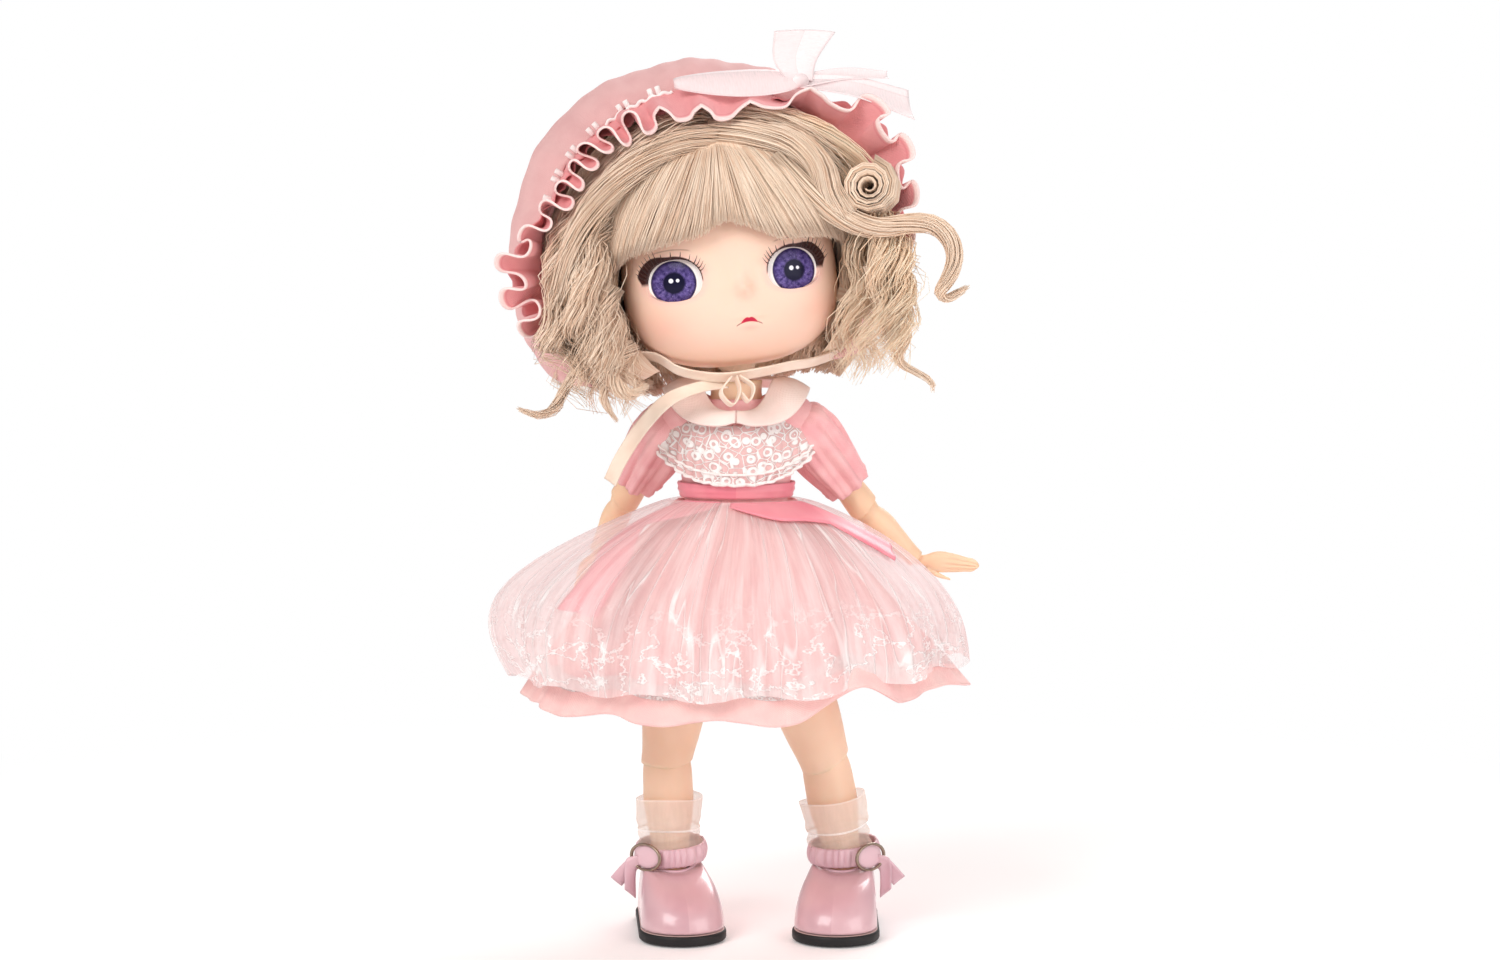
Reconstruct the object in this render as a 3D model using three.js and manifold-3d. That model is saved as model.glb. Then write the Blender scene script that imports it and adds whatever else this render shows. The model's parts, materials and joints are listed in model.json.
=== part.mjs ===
// Dressed ball-jointed doll, 1:8 size, millimetres, +Z up, the face looks along -Y.
// Left and right are the doll's own: the doll's left is +X.
import * as THREE from "three";
import { mergeVertices } from "three/addons/utils/BufferGeometryUtils.js";
import Module from "manifold-3d";

const wasm = await Module();
wasm.setup();

// Clearances
const GAP = 0.3;
const BALL_GAP = 0.25;
const WELD = 1e-4;

// Facets round a limb and round a ball
const LIMB_SIDES = 12;
const BALL_SIDES = 10;

// Body lengths
const HIP_SPACING = 21.5;
const THIGH_LENGTH = 24;
const SHIN_LENGTH = 21.5;
const ANKLE_HEIGHT = 13.5;
const LEAN_DROP = 1;
const HIP_HEIGHT = ANKLE_HEIGHT + SHIN_LENGTH + THIGH_LENGTH - LEAN_DROP;
const WAIST_HEIGHT = 90;
const BODICE_LENGTH = 14;
const SHOULDER_HEIGHT = WAIST_HEIGHT + BODICE_LENGTH;
const SHOULDER_SPACING = 29;
const UPPER_ARM_LENGTH = 22.5;
const FOREARM_LENGTH = 16.5;

// Limb thickness
const THIGH_RADIUS = 6;
const KNEE_RADIUS = 5.1;
const CALF_RADIUS = 5.1;
const ANKLE_RADIUS = 3.8;
const UPPER_ARM_RADIUS = 3.1;
const FOREARM_RADIUS = 3;
const WRIST_RADIUS = 2.1;

// Joint balls
const NECK_BALL = 4.6;
const NECK_FOOT_BALL = 2.9;
const NECK_STEM = 1.9;
const NECK_COLUMN = 5.4;
const NECK_BASE_RADIUS = 4.2;
const NECK_LENGTH = 10.4;
const NECK_TOP = SHOULDER_HEIGHT + NECK_LENGTH;
const HEAD_BALL_HEIGHT = NECK_TOP + 5;
const NECK_FOOT_HEIGHT = HEAD_BALL_HEIGHT - 8.2;
const NECK_BASE_FLOOR = NECK_FOOT_HEIGHT - 4.2;
const SHOULDER_BALL = 3.4;
const SHOULDER_PEG = 1.9;
const ELBOW_BALL = 2.8;
const WRIST_BALL = 1.5;
const HIP_BALL = 4.5;
const HIP_PEG = 2.6;
const KNEE_BALL = 4.5;
const ANKLE_BALL = 2.7;
const RIM_SLOPE = 14;

// Head
const HEAD_HALF_WIDTH = 22;
const HEAD_HALF_DEPTH = 20.5;
const HEAD_CROWN = 27;
const HEAD_CHIN = 18;
const HEAD_ROUNDNESS = 2.5;
const JAW_ROUNDNESS = 2.75;
const HEAD_WALL = 3.4;
const HEAD_ABOVE_BALL = 15;
const HEAD_BEFORE_BALL = 3;
const EYE_SPACING = 24.2;
const EYE_LIFT = 1.5;
const EYE_RADIUS = 7;
const EYE_WIDTH = 10.7;
const EYE_HEIGHT = 9;
const MAGNET_RADIUS = 1.1;
const MAGNET_HEIGHT = 1.5;

// Wig and bonnet
const WIG_SEAT = 0.95;
const WIG_CAP_THICKNESS = 0.9;
const HAIR_DEPTH = 7.5;
const BONNET_HAIR_DEPTH = 11;
const BONNET_RADIUS = 40.5;
const BONNET_SHIFT = -3;
const BONNET_LIFT = 5;
const BONNET_PUFF = 3.2;
const BONNET_BACK = 35;
const BONNET_FRONT = -5;
const BONNET_CLOTH = 0.8;
const BONNET_GATHERS = 14;
const RUFFLE_REACH = 11;
const RUFFLE_PLEATS = 19;

// Dress
const CLOTH = 0.7;
const SKIRT_LENGTH = 41.5;
const HEM_HEIGHT = WAIST_HEIGHT - SKIRT_LENGTH;
const SKIRT_WAIST = 12;
const SKIRT_HEM = 45;
const SKIRT_FOLDS = 11;
const TULLE_LENGTH = 34;
const TULLE_HEM_HEIGHT = WAIST_HEIGHT - TULLE_LENGTH;
const TULLE_WAIST = 13.8;
const TULLE_HEM = 46.5;
const TULLE_FOLDS = 13;
const SKIRT_DEPTH_RATIO = 0.9;
const SKIRT_SHIFT = -2;
// A shorter bodice brings the arms nearer to the skirt, so that they press deeper into it
const ARM_DENT = 20 - BODICE_LENGTH;
const SLEEVE_RADIUS = 6;
const SLEEVE_LENGTH = 15.8;
const SLEEVE_GATHERS = 7;
const SASH_WIDTH = 4.4;
const RIBBON_WIDTH = 3;

// Shoes and socks
const TOE_RADIUS = 9;
const HEEL_RADIUS = 6.8;
const TOE_CENTRE = -14;
const HEEL_CENTRE = 4.5;
const SOLE_THICKNESS = 2.2;
const SHOE_WALL = 0.8;
const STRAP_HEIGHT = 3.6;
const STRAP_RADIUS = 6.4;
const BUCKLE_RADIUS = 2.9;
const SOCK_TOP = 31;
const SOCK_WALL = 0.5;

// The pose in degrees: a lean goes outward, a swing goes back
const POSE = {
  neck: { turn: 5, tilt: -6.3 },
  left: { swing: 24, lean: 34, elbow: 8, wrist: 42, thigh: 20, shin: 10.5, toe: 8, ankle: 22.5 },
  right: { swing: 40, lean: 25, elbow: -4, wrist: 0, thigh: 7.4, shin: -2.1, toe: 11, ankle: 13.8 },
};
const ANKLE_DEPTH = 2;

const rad = THREE.MathUtils.degToRad;

function point(x, y, z) {
  return new THREE.Vector3(x, y, z);
}

function rise(value, from, to) {
  return THREE.MathUtils.smoothstep(value, from, to);
}

function mix(from, to, part) {
  return from + (to - from) * part;
}

// Value at a place along stations of [place, value, value...], straight between them
function along(stations, place, column) {
  let i = 0;
  while (i < stations.length - 2 && place > stations[i + 1][0]) {
    i += 1;
  }
  const part = (place - stations[i][0]) / (stations[i + 1][0] - stations[i][0]);
  return mix(stations[i][column], stations[i + 1][column], THREE.MathUtils.clamp(part, 0, 1));
}

// Solids and geometries
function solidOf(geometry) {
  const bare = new THREE.BufferGeometry();
  bare.setAttribute("position", geometry.getAttribute("position").clone());
  if (geometry.index) {
    bare.setIndex(geometry.index.clone());
  }
  const welded = mergeVertices(bare, WELD);
  const corners = welded.index.array;
  const kept = [];
  for (let i = 0; i < corners.length; i += 3) {
    const [a, b, c] = corners.slice(i, i + 3);
    if (a !== b && b !== c && c !== a) {
      kept.push(a, b, c);
    }
  }
  const vertProperties = new Float32Array(welded.getAttribute("position").array);
  return new wasm.Manifold(new wasm.Mesh({ numProp: 3, vertProperties, triVerts: new Uint32Array(kept) }));
}

function geometryOf(solid) {
  const mesh = solid.getMesh();
  const geometry = new THREE.BufferGeometry();
  geometry.setAttribute("position", new THREE.BufferAttribute(new Float32Array(mesh.vertProperties), 3));
  geometry.setIndex(new THREE.BufferAttribute(new Uint32Array(mesh.triVerts), 1));
  geometry.computeVertexNormals();
  return geometry;
}

function cut(geometry, ...cutters) {
  return geometryOf(cutters.reduce((solid, cutter) => solid.subtract(solidOf(cutter)), solidOf(geometry)));
}

function fuse(...geometries) {
  return geometryOf(geometries.map(solidOf).reduce((solid, other) => solid.add(other)));
}

function outward(positions, faces) {
  const corner = (i) => point(positions[3 * i], positions[3 * i + 1], positions[3 * i + 2]);
  let volume = 0;
  for (let i = 0; i < faces.length; i += 3) {
    volume += corner(faces[i]).dot(corner(faces[i + 1]).cross(corner(faces[i + 2])));
  }
  const geometry = new THREE.BufferGeometry();
  geometry.setAttribute("position", new THREE.Float32BufferAttribute(positions, 3));
  geometry.setIndex(volume > 0 ? faces : faces.slice().reverse());
  return geometry;
}

// Rings of points joined into a closed skin with a fan at each end
function loft(rings) {
  const count = rings[0].length;
  const positions = rings.flat().flatMap((p) => [p.x, p.y, p.z]);
  const faces = [];
  for (let r = 0; r + 1 < rings.length; r += 1) {
    for (let i = 0; i < count; i += 1) {
      const a = r * count + i;
      const b = r * count + ((i + 1) % count);
      faces.push(a, b, a + count, b, b + count, a + count);
    }
  }
  for (const end of [0, rings.length - 1]) {
    const hub = positions.length / 3;
    const middle = rings[end].reduce((sum, p) => sum.add(p), point(0, 0, 0)).divideScalar(count);
    positions.push(middle.x, middle.y, middle.z);
    for (let i = 0; i < count; i += 1) {
      const a = end * count + i;
      const b = end * count + ((i + 1) % count);
      faces.push(...(end === 0 ? [hub, b, a] : [hub, a, b]));
    }
  }
  return outward(positions, faces);
}

// The body between two surfaces given over u and v from 0 to 1
function between(across, down, wraps, inner, outer) {
  const columns = wraps ? across : across + 1;
  const positions = [];
  for (const surface of [outer, inner]) {
    for (let j = 0; j <= down; j += 1) {
      for (let i = 0; i < columns; i += 1) {
        const p = surface(i / across, j / down);
        positions.push(p.x, p.y, p.z);
      }
    }
  }
  const at = (layer, i, j) => layer * columns * (down + 1) + j * columns + (i % columns);
  const faces = [];
  const quad = (a, b, c, d) => faces.push(a, b, c, a, c, d);
  for (let i = 0; i < across; i += 1) {
    for (let j = 0; j < down; j += 1) {
      quad(at(0, i, j), at(0, i + 1, j), at(0, i + 1, j + 1), at(0, i, j + 1));
      quad(at(1, i, j + 1), at(1, i + 1, j + 1), at(1, i + 1, j), at(1, i, j));
    }
    quad(at(1, i, 0), at(1, i + 1, 0), at(0, i + 1, 0), at(0, i, 0));
    quad(at(0, i, down), at(0, i + 1, down), at(1, i + 1, down), at(1, i, down));
  }
  for (let j = 0; j < down && !wraps; j += 1) {
    quad(at(0, 0, j), at(0, 0, j + 1), at(1, 0, j + 1), at(1, 0, j));
    quad(at(1, across, j), at(1, across, j + 1), at(0, across, j + 1), at(0, across, j));
  }
  return outward(positions, faces);
}

// Cloth of one thickness on a surface given over u and v
function cloth(across, down, wraps, surface, thickness) {
  const step = 1e-3;
  const offset = (u, v, distance) => {
    const [v0, v1] = [Math.max(v - step, 0), Math.min(v + step, 1)];
    const [u0, u1] = wraps ? [u - step, u + step] : [Math.max(u - step, 0), Math.min(u + step, 1)];
    const sideways = surface(u1, v).sub(surface(u0, v));
    const downward = surface(u, v1).sub(surface(u, v0));
    return surface(u, v).addScaledVector(sideways.cross(downward).normalize(), distance);
  };
  const inner = (u, v) => offset(u, v, -thickness / 2);
  const outer = (u, v) => offset(u, v, thickness / 2);
  return between(across, down, wraps, inner, outer);
}

// A tapered tube along a smooth path
function lock(path, sides, steps, radius) {
  const curve = new THREE.CatmullRomCurve3(path);
  const frames = curve.computeFrenetFrames(steps, false);
  const rings = [];
  for (let i = 0; i <= steps; i += 1) {
    const centre = curve.getPointAt(i / steps);
    const ring = [];
    for (let k = 0; k < sides; k += 1) {
      const turn = (k / sides) * 2 * Math.PI;
      const spoke = frames.normals[i].clone().multiplyScalar(Math.cos(turn));
      spoke.addScaledVector(frames.binormals[i], Math.sin(turn));
      ring.push(centre.clone().addScaledVector(spoke, radius(i / steps)));
    }
    rings.push(ring);
  }
  return loft(rings);
}

// A flat ribbon along a path, its width lying in a given direction
function ribbon(path, steps, sideways, width, thickness) {
  const curve = new THREE.CatmullRomCurve3(path);
  const surface = (u, v) => {
    const half = width(v) * (u - 0.5);
    return curve.getPointAt(v).addScaledVector(sideways(v), half);
  };
  return cloth(1, steps, false, surface, thickness);
}

function revolve(profile, segments) {
  const points = profile.map(([radius, height]) => new THREE.Vector2(Math.max(radius, 0), height));
  const lathe = new THREE.LatheGeometry(points, segments).rotateX(Math.PI / 2);
  return outward(Array.from(lathe.getAttribute("position").array), Array.from(lathe.index.array));
}

function ball(radius, x, y, z) {
  return new THREE.SphereGeometry(radius, BALL_SIDES, BALL_SIDES / 2 + 2).translate(x, y, z);
}

// The hollow that a ball turns in, wide enough for its flat facets
function socket(radius, x, y, z) {
  return ball((radius + BALL_GAP) / Math.cos(Math.PI / BALL_SIDES), x, y, z);
}

function rod(radius, from, to, sides = BALL_SIDES) {
  const length = from.distanceTo(to);
  const turn = new THREE.Quaternion();
  turn.setFromUnitVectors(point(0, 1, 0), to.clone().sub(from).normalize());
  const geometry = new THREE.CylinderGeometry(radius, radius, length, sides).applyQuaternion(turn);
  const middle = from.clone().lerp(to, 0.5);
  return geometry.translate(middle.x, middle.y, middle.z);
}

// A large block whose near face passes through a place, on the side a direction points to
function halfSpace(direction, place) {
  const size = 120;
  const turn = new THREE.Quaternion();
  turn.setFromUnitVectors(point(0, 0, 1), direction.clone().normalize());
  const geometry = new THREE.BoxGeometry(size, size, size).translate(0, 0, size / 2);
  return geometry.applyQuaternion(turn).translate(place.x, place.y, place.z);
}

// Scene helpers
const doll = new THREE.Group();
doll.name = "doll";
const figure = new THREE.Group();
doll.add(figure);

function pivot(parent, name, x, y, z) {
  const group = new THREE.Group();
  group.name = name;
  group.position.set(x, y, z);
  parent.add(group);
  return group;
}

function look(color, roughness, metalness = 0) {
  return { color, roughness, metalness };
}

const SKIN = look(0xf2d3b8, 0.55);
const JOINT = look(0xe6c3a6, 0.5);
const HAIR = look(0xc6b08e, 0.6);
const BONNET_PINK = look(0xdc9a9a, 0.85);
const DRESS_PINK = look(0xf2b6b8, 0.8);
const TULLE = look(0xf7e3e3, 0.7);
const LACE = look(0xfbf3f2, 0.85);
const CREAM = look(0xf3dccb, 0.6);
const SASH = look(0xee8b9a, 0.45);
const SATIN = look(0xd9adb8, 0.35);
const RUBBER = look(0x17141a, 0.6);
const STEEL = look(0xb9b2a8, 0.25, 1);
const IRIS = look(0x6c5f9c, 0.15);
const LASH = look(0x2a1d1a, 0.7);
const ORGANZA = look(0xf4efef, 0.5);
const SOCK = look(0xecd0b8, 0.7);

function piece(parent, name, geometry, style) {
  const mesh = new THREE.Mesh(geometryOf(solidOf(geometry)), new THREE.MeshStandardMaterial(style));
  mesh.name = name;
  parent.add(mesh);
}

// Torso
const TORSO = [
  [HIP_HEIGHT - 5, 3, 5], [HIP_HEIGHT - 2.5, 7, 8], [HIP_HEIGHT + 1, 12.6, 10], [HIP_HEIGHT + 6, 13.2, 10.6],
  [HIP_HEIGHT + 13, 12.2, 9.8], [mix(HIP_HEIGHT + 13, WAIST_HEIGHT - 2, 0.53), 10.2, 8.2],
  [WAIST_HEIGHT - 2, 9.2, 7.6], [WAIST_HEIGHT + 5, 10.2, 8.4], [SHOULDER_HEIGHT - 4, 10.4, 8.6],
  [SHOULDER_HEIGHT, 9.8, 7.8], [SHOULDER_HEIGHT + 3, 8, 6.6], [SHOULDER_HEIGHT + 5.5, 6, 5.6],
  [NECK_TOP - 3.4, NECK_COLUMN, NECK_COLUMN], [NECK_TOP, NECK_COLUMN, NECK_COLUMN],
];

function onTorso(turn, height, grow) {
  const x = (along(TORSO, height, 1) + grow) * Math.sin(turn);
  const y = -(along(TORSO, height, 2) + grow) * Math.cos(turn);
  return point(x, y, height);
}

function ringOf(count, place) {
  return Array.from({ length: count }, (_, i) => place((i / count) * 2 * Math.PI));
}

function legPoints(side, pose) {
  const ankle = point(side * pose.ankle, ANKLE_DEPTH, ANKLE_HEIGHT);
  const shin = point(-side * Math.sin(rad(pose.shin)), 0, Math.cos(rad(pose.shin)));
  const thigh = point(-side * Math.sin(rad(pose.thigh)), 0, Math.cos(rad(pose.thigh)));
  const knee = ankle.clone().addScaledVector(shin, SHIN_LENGTH);
  const hip = knee.clone().addScaledVector(thigh, THIGH_LENGTH);
  hip.x = mix(hip.x, (side * HIP_SPACING) / 2, 0.5);
  return { ankle, knee, hip };
}

function shoulderPlace(side) {
  return point((side * SHOULDER_SPACING) / 2, 1, SHOULDER_HEIGHT);
}

function torsoShape() {
  const body = loft(TORSO.map(([height]) => ringOf(14, (turn) => onTorso(turn, height, 0))));
  const cutters = [];
  for (const [side, pose] of [[1, POSE.left], [-1, POSE.right]]) {
    const hip = legPoints(side, pose).hip;
    const shoulder = shoulderPlace(side);
    cutters.push(ball(THIGH_RADIUS + 0.8, hip.x, hip.y, hip.z));
    cutters.push(rod(HIP_PEG + BALL_GAP, hip, point(side * 2.2, hip.y, hip.z)));
    cutters.push(ball(SHOULDER_BALL + 1.8, shoulder.x, shoulder.y, shoulder.z));
    cutters.push(rod(SHOULDER_PEG + BALL_GAP, shoulder, point(side * 4.2, shoulder.y, shoulder.z)));
  }
  const base = point(0, 0, NECK_BASE_FLOOR);
  cutters.push(rod(NECK_BASE_RADIUS + BALL_GAP, base, point(0, 0, NECK_TOP + 1), 16));
  return cut(body, ...cutters);
}

// Neck
function neckBase() {
  const low = point(0, 0, NECK_BASE_FLOOR + GAP);
  const drum = rod(NECK_BASE_RADIUS, low, point(0, 0, NECK_FOOT_HEIGHT + 1.6), 16);
  return cut(drum, socket(NECK_FOOT_BALL, 0, 0, NECK_FOOT_HEIGHT)).translate(0, 0, -NECK_FOOT_HEIGHT);
}

function neckPeg() {
  const reach = HEAD_BALL_HEIGHT - NECK_FOOT_HEIGHT;
  const stem = rod(NECK_STEM, point(0, 0, 0), point(0, 0, reach));
  return fuse(ball(NECK_FOOT_BALL, 0, 0, 0), stem, ball(NECK_BALL, 0, 0, reach));
}

// Head, about its own centre at eye level
function onHead(turn, lift, grow = 0) {
  const out = point(Math.sin(turn) * Math.cos(lift), -Math.cos(turn) * Math.cos(lift), Math.sin(lift));
  const tall = out.z > 0 ? HEAD_CROWN : HEAD_CHIN;
  const power = out.z > 0 ? HEAD_ROUNDNESS : JAW_ROUNDNESS;
  const sum = (Math.abs(out.x) / HEAD_HALF_WIDTH) ** power
    + (Math.abs(out.y) / HEAD_HALF_DEPTH) ** power
    + (Math.abs(out.z) / tall) ** power;
  return out.multiplyScalar(sum ** (-1 / power) + grow);
}

function headForm(grow, around, tall) {
  const rings = [];
  for (let j = 1; j < tall; j += 1) {
    const lift = mix(-Math.PI / 2, Math.PI / 2, j / tall);
    rings.push(ringOf(around, (turn) => onHead(turn, lift, grow)));
  }
  return loft(rings);
}

const EYE_TURN = Math.asin(EYE_SPACING / 2 / HEAD_HALF_WIDTH);
const EYE_RISE = Math.asin(EYE_LIFT / HEAD_HALF_DEPTH);
const SEAM_DIRECTION = point(0, 0.62, 0.78);
const SEAM_PLACE = point(0, 0, 9);

function eyeCentre(side) {
  return onHead(side * EYE_TURN, EYE_RISE, -EYE_RADIUS - 0.7);
}

function eyeOpening(side) {
  const opening = new THREE.CylinderGeometry(0.5, 0.5, 16, 14);
  opening.scale(EYE_WIDTH, 1, EYE_HEIGHT);
  const place = onHead(side * EYE_TURN, EYE_RISE, 2);
  return opening.rotateZ(side * EYE_TURN * 0.55).translate(place.x, place.y, place.z);
}

function magnetPlaces() {
  return [-1, 1].map((side) => {
    const wall = onHead(side * rad(90), rad(24), -HEAD_WALL / 2);
    const offset = SEAM_DIRECTION.dot(wall.clone().sub(SEAM_PLACE));
    return wall.addScaledVector(SEAM_DIRECTION, -offset);
  });
}

function magnet(place, sign, grow) {
  const near = place.clone().addScaledVector(SEAM_DIRECTION, sign * (grow > 0 ? 0 : GAP));
  const far = place.clone().addScaledVector(SEAM_DIRECTION, sign * (GAP + MAGNET_HEIGHT + grow));
  return rod(MAGNET_RADIUS + grow, near, far, 8);
}

function headShell() {
  const shell = cut(headForm(0, 22, 12), headForm(-HEAD_WALL, 10, 7));
  const nose = ball(1.7, 0, 0, 0).scale(0.9, 1, 0.85).translate(1, -HEAD_HALF_DEPTH + 0.5, -1.6);
  const socketPlace = [0, HEAD_BEFORE_BALL, -HEAD_ABOVE_BALL];
  const throat = rod(NECK_BALL * 0.8, point(0, HEAD_BEFORE_BALL, -HEAD_ABOVE_BALL), point(0, HEAD_BEFORE_BALL, -30));
  return cut(fuse(shell, nose), socket(NECK_BALL, ...socketPlace), throat);
}

function headHalf(sign) {
  const direction = SEAM_DIRECTION.clone().multiplyScalar(-sign);
  const place = SEAM_PLACE.clone().addScaledVector(SEAM_DIRECTION, sign * GAP * 0.5);
  const half = cut(headShell(), halfSpace(direction, place));
  return cut(half, ...magnetPlaces().map((middle) => magnet(middle, sign, 0.2)));
}

function faceShape() {
  const eyes = [-1, 1].map((side) => {
    const centre = eyeCentre(side);
    return socket(EYE_RADIUS, centre.x, centre.y, centre.z);
  });
  return cut(headHalf(-1), ...eyes, ...[-1, 1].map(eyeOpening));
}

function eyeShape(side) {
  const centre = eyeCentre(side);
  const globe = ball(EYE_RADIUS, centre.x, centre.y, centre.z);
  return cut(globe, halfSpace(point(0, 1, 0), point(0, centre.y + EYE_RADIUS * 0.35, 0)));
}

function lashShape(side) {
  const rim = (u, v, grow) => {
    const angle = mix(rad(18), rad(168), u);
    const reach = mix(1.06, mix(1.34, 1.16, u), v);
    const turn = EYE_TURN + (Math.cos(angle) * reach * EYE_WIDTH * 0.5) / HEAD_HALF_WIDTH;
    const lift = EYE_RISE + (Math.sin(angle) * reach * EYE_HEIGHT * 0.5) / HEAD_HALF_DEPTH;
    return onHead(side * turn, lift, grow);
  };
  return between(8, 1, false, (u, v) => rim(u, v, 0.35), (u, v) => rim(u, v, 0.8));
}

// Wig
function hairline(turn) {
  const back = (1 - Math.cos(turn)) / 2;
  return rad(mix(40, -24, rise(back, 0.1, 0.85)));
}

function wigCap() {
  const layer = (grow) => (u, v) => {
    const turn = u * 2 * Math.PI;
    return onHead(turn, mix(hairline(turn), rad(87), v), grow);
  };
  return between(22, 5, true, layer(WIG_SEAT), layer(WIG_SEAT + WIG_CAP_THICKNESS));
}

const HAIR_BASE = WIG_SEAT + WIG_CAP_THICKNESS + 2 * GAP;

function hairPatch(fromTurn, toTurn, low, high, depth, across, down, inset = 0) {
  const place = (u, v) => {
    const turn = mix(rad(fromTurn), rad(toTurn), u);
    return [turn, mix(high(turn), low(turn), v)];
  };
  const inner = (u, v) => onHead(...place(u, v), HAIR_BASE - inset);
  const outer = (u, v) => onHead(...place(u, v), HAIR_BASE + depth(u, v));
  return between(across, down, false, inner, outer);
}

function fringe(grow) {
  const edge = 2 * grow;
  const low = (turn) => rad(mix(38, 15, Math.abs(Math.sin(turn)) ** 0.8) - edge);
  const depth = (u, v) => (2 + 0.5 * Math.cos(u * 44)) * mix(1.5, 0.75, v) + grow;
  return hairPatch(-62 - edge, 62 + edge, low, () => rad(72 + edge), depth, 18, 4, grow);
}

// How deep the hair can be at a place before it meets the bonnet
function bonnetRoom(turn, lift) {
  let room = 1.2;
  let clear = true;
  while (clear && room < BONNET_HAIR_DEPTH) {
    room += 0.4;
    const place = onHead(turn, lift, HAIR_BASE + room + 0.4);
    const across = place.x - BONNET_SHIFT;
    const up = place.z - BONNET_LIFT;
    const edge = along(RUFFLE_EDGE, (Math.atan2(across, up) * 180) / Math.PI, 1) - 0.08;
    const forward = rise(BONNET_FRONT - place.y, 0, RUFFLE_REACH);
    const share = mix(along(BONNET_PROFILE, Math.max(place.y, BONNET_FRONT), 1) - 0.02, Math.min(edge, 0.9), forward);
    const inside = BONNET_RADIUS * share - BONNET_CLOTH - 2 * GAP;
    clear = Math.hypot(across, up) < inside && place.y < BONNET_BACK - 2;
  }
  return room;
}

function sideHair(side, fullness) {
  const low = (turn) => rad(-42 - 4 * Math.sin(9 * turn));
  const depth = (u, v) => {
    const turn = side * rad(mix(58, 112, u));
    const wave = 0.7 * Math.sin(16 * v + 3 * u) * Math.sin(Math.PI * u);
    const full = HAIR_DEPTH + wave + fullness * rise(v, 0.55, 0.8) * (1 - u) ** 2;
    const inBonnet = rise(u, 0.4, 1) * (1 - rise(v, 0.4, 0.65));
    return Math.min(mix(full, BONNET_HAIR_DEPTH, inBonnet), bonnetRoom(turn, mix(rad(50), low(turn), v)));
  };
  return hairPatch(side * 58, side * 112, low, () => rad(50), depth, 6, 8);
}

function rollCurl() {
  const ring = revolve([[3, -4], [5, -4.4], [5.7, -2], [5.7, 2.5], [5, 4.4], [3, 4], [2.6, 0], [3, -4]], 12);
  return ring.rotateX(rad(78)).rotateZ(rad(38)).translate(29, -15.5, 15);
}

function leftHair() {
  const sweepPath = [
    point(22, -18, 6), point(31, -19.5, 8.5), point(40, -19, 8.5), point(43.5, -18.5, 2),
    point(40.5, -17, -7), point(45.5, -16.5, -6.5),
  ];
  const ringletPath = [
    point(27, -9, -4), point(31, -11, -9), point(34, -13, -16), point(32, -13, -19.5),
    point(36.5, -13, -20.5), point(34.5, -13, -25),
  ];
  const sweepLock = lock(sweepPath, 6, 9, (t) => mix(2.6, 0.6, t));
  const ringlet = lock(ringletPath, 6, 8, (t) => mix(2.6, 0.8, t));
  const bridge = lock([point(22, -10, 12), point(28, -14, 14)], 7, 1, () => 3.4);
  return cut(fuse(sideHair(1, 3), bridge, rollCurl(), sweepLock, ringlet), fringe(1.6 * GAP));
}

function rightHair() {
  const hookPath = [point(-31, -10, -9), point(-37, -11, -14), point(-37, -11, -20), point(-44, -11, -21.5)];
  const curlPath = [point(-23, -12, -12), point(-27, -16, -16), point(-23, -18, -19), point(-20, -16.5, -17)];
  const hook = lock(hookPath, 7, 7, (t) => mix(4, 0.9, t));
  const curl = lock(curlPath, 7, 6, (t) => mix(3, 1.6, t));
  return cut(fuse(sideHair(-1, 5), hook, curl), fringe(1.6 * GAP));
}

function backHair() {
  const low = (turn) => rad(-40 - 3 * Math.sin(11 * turn));
  const depth = (u, v) => {
    const turn = rad(mix(116, 244, u));
    return bonnetRoom(turn, mix(rad(50), low(turn), v)) + 0.3 * Math.cos(u * 40) - 0.3;
  };
  return hairPatch(116, 244, low, () => rad(50), depth, 12, 5);
}

function crownHair() {
  const low = (turn) => rad(mix(75.5, 54, rise(Math.abs(turn), rad(66), rad(82))));
  const layer = (full) => (u, v) => {
    const turn = mix(-Math.PI, Math.PI, u);
    const lift = mix(low(turn), rad(87), v);
    return onHead(turn, lift, HAIR_BASE + full * bonnetRoom(turn, lift));
  };
  return between(20, 3, true, layer(0), layer(1));
}

// Bonnet, turned about a front to back line through the head
const BONNET_PROFILE = [
  [BONNET_FRONT, 0.925], [BONNET_FRONT + 5, 0.985], [BONNET_FRONT + 12, 1], [BONNET_FRONT + 20, 0.95],
  [BONNET_FRONT + 29, 0.76], [BONNET_BACK - 5, 0.56], [BONNET_BACK - 0.8, 0.24], [BONNET_BACK, 0.02],
];

function onBonnet(turn, depth, grow) {
  const gather = 0.014 * Math.cos(BONNET_GATHERS * turn) * (1 - rise(depth, BONNET_FRONT, BONNET_FRONT + 22));
  const around = Math.atan2(Math.sin(turn), Math.cos(turn));
  const puff = BONNET_PUFF * Math.exp(-(((around + 0.73) / 0.56) ** 2));
  const swell = puff * Math.sin(Math.PI * rise(depth, BONNET_FRONT - 4, BONNET_BACK));
  const radius = BONNET_RADIUS * (along(BONNET_PROFILE, depth, 1) + gather) + swell + grow;
  return point(BONNET_SHIFT + radius * Math.sin(turn), depth, BONNET_LIFT + radius * Math.cos(turn));
}

// How far out the ruffle's front edge is, by the turn in degrees
const RUFFLE_EDGE = [
  [-106, 1.03], [-88, 1.09], [-74, 0.92], [-62, 0.81], [-43, 0.8], [-26, 0.75], [-9, 0.715], [12, 0.7],
  [33, 0.855], [47, 0.965], [63, 1.03], [80, 1.055], [106, 1.06],
];

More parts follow.
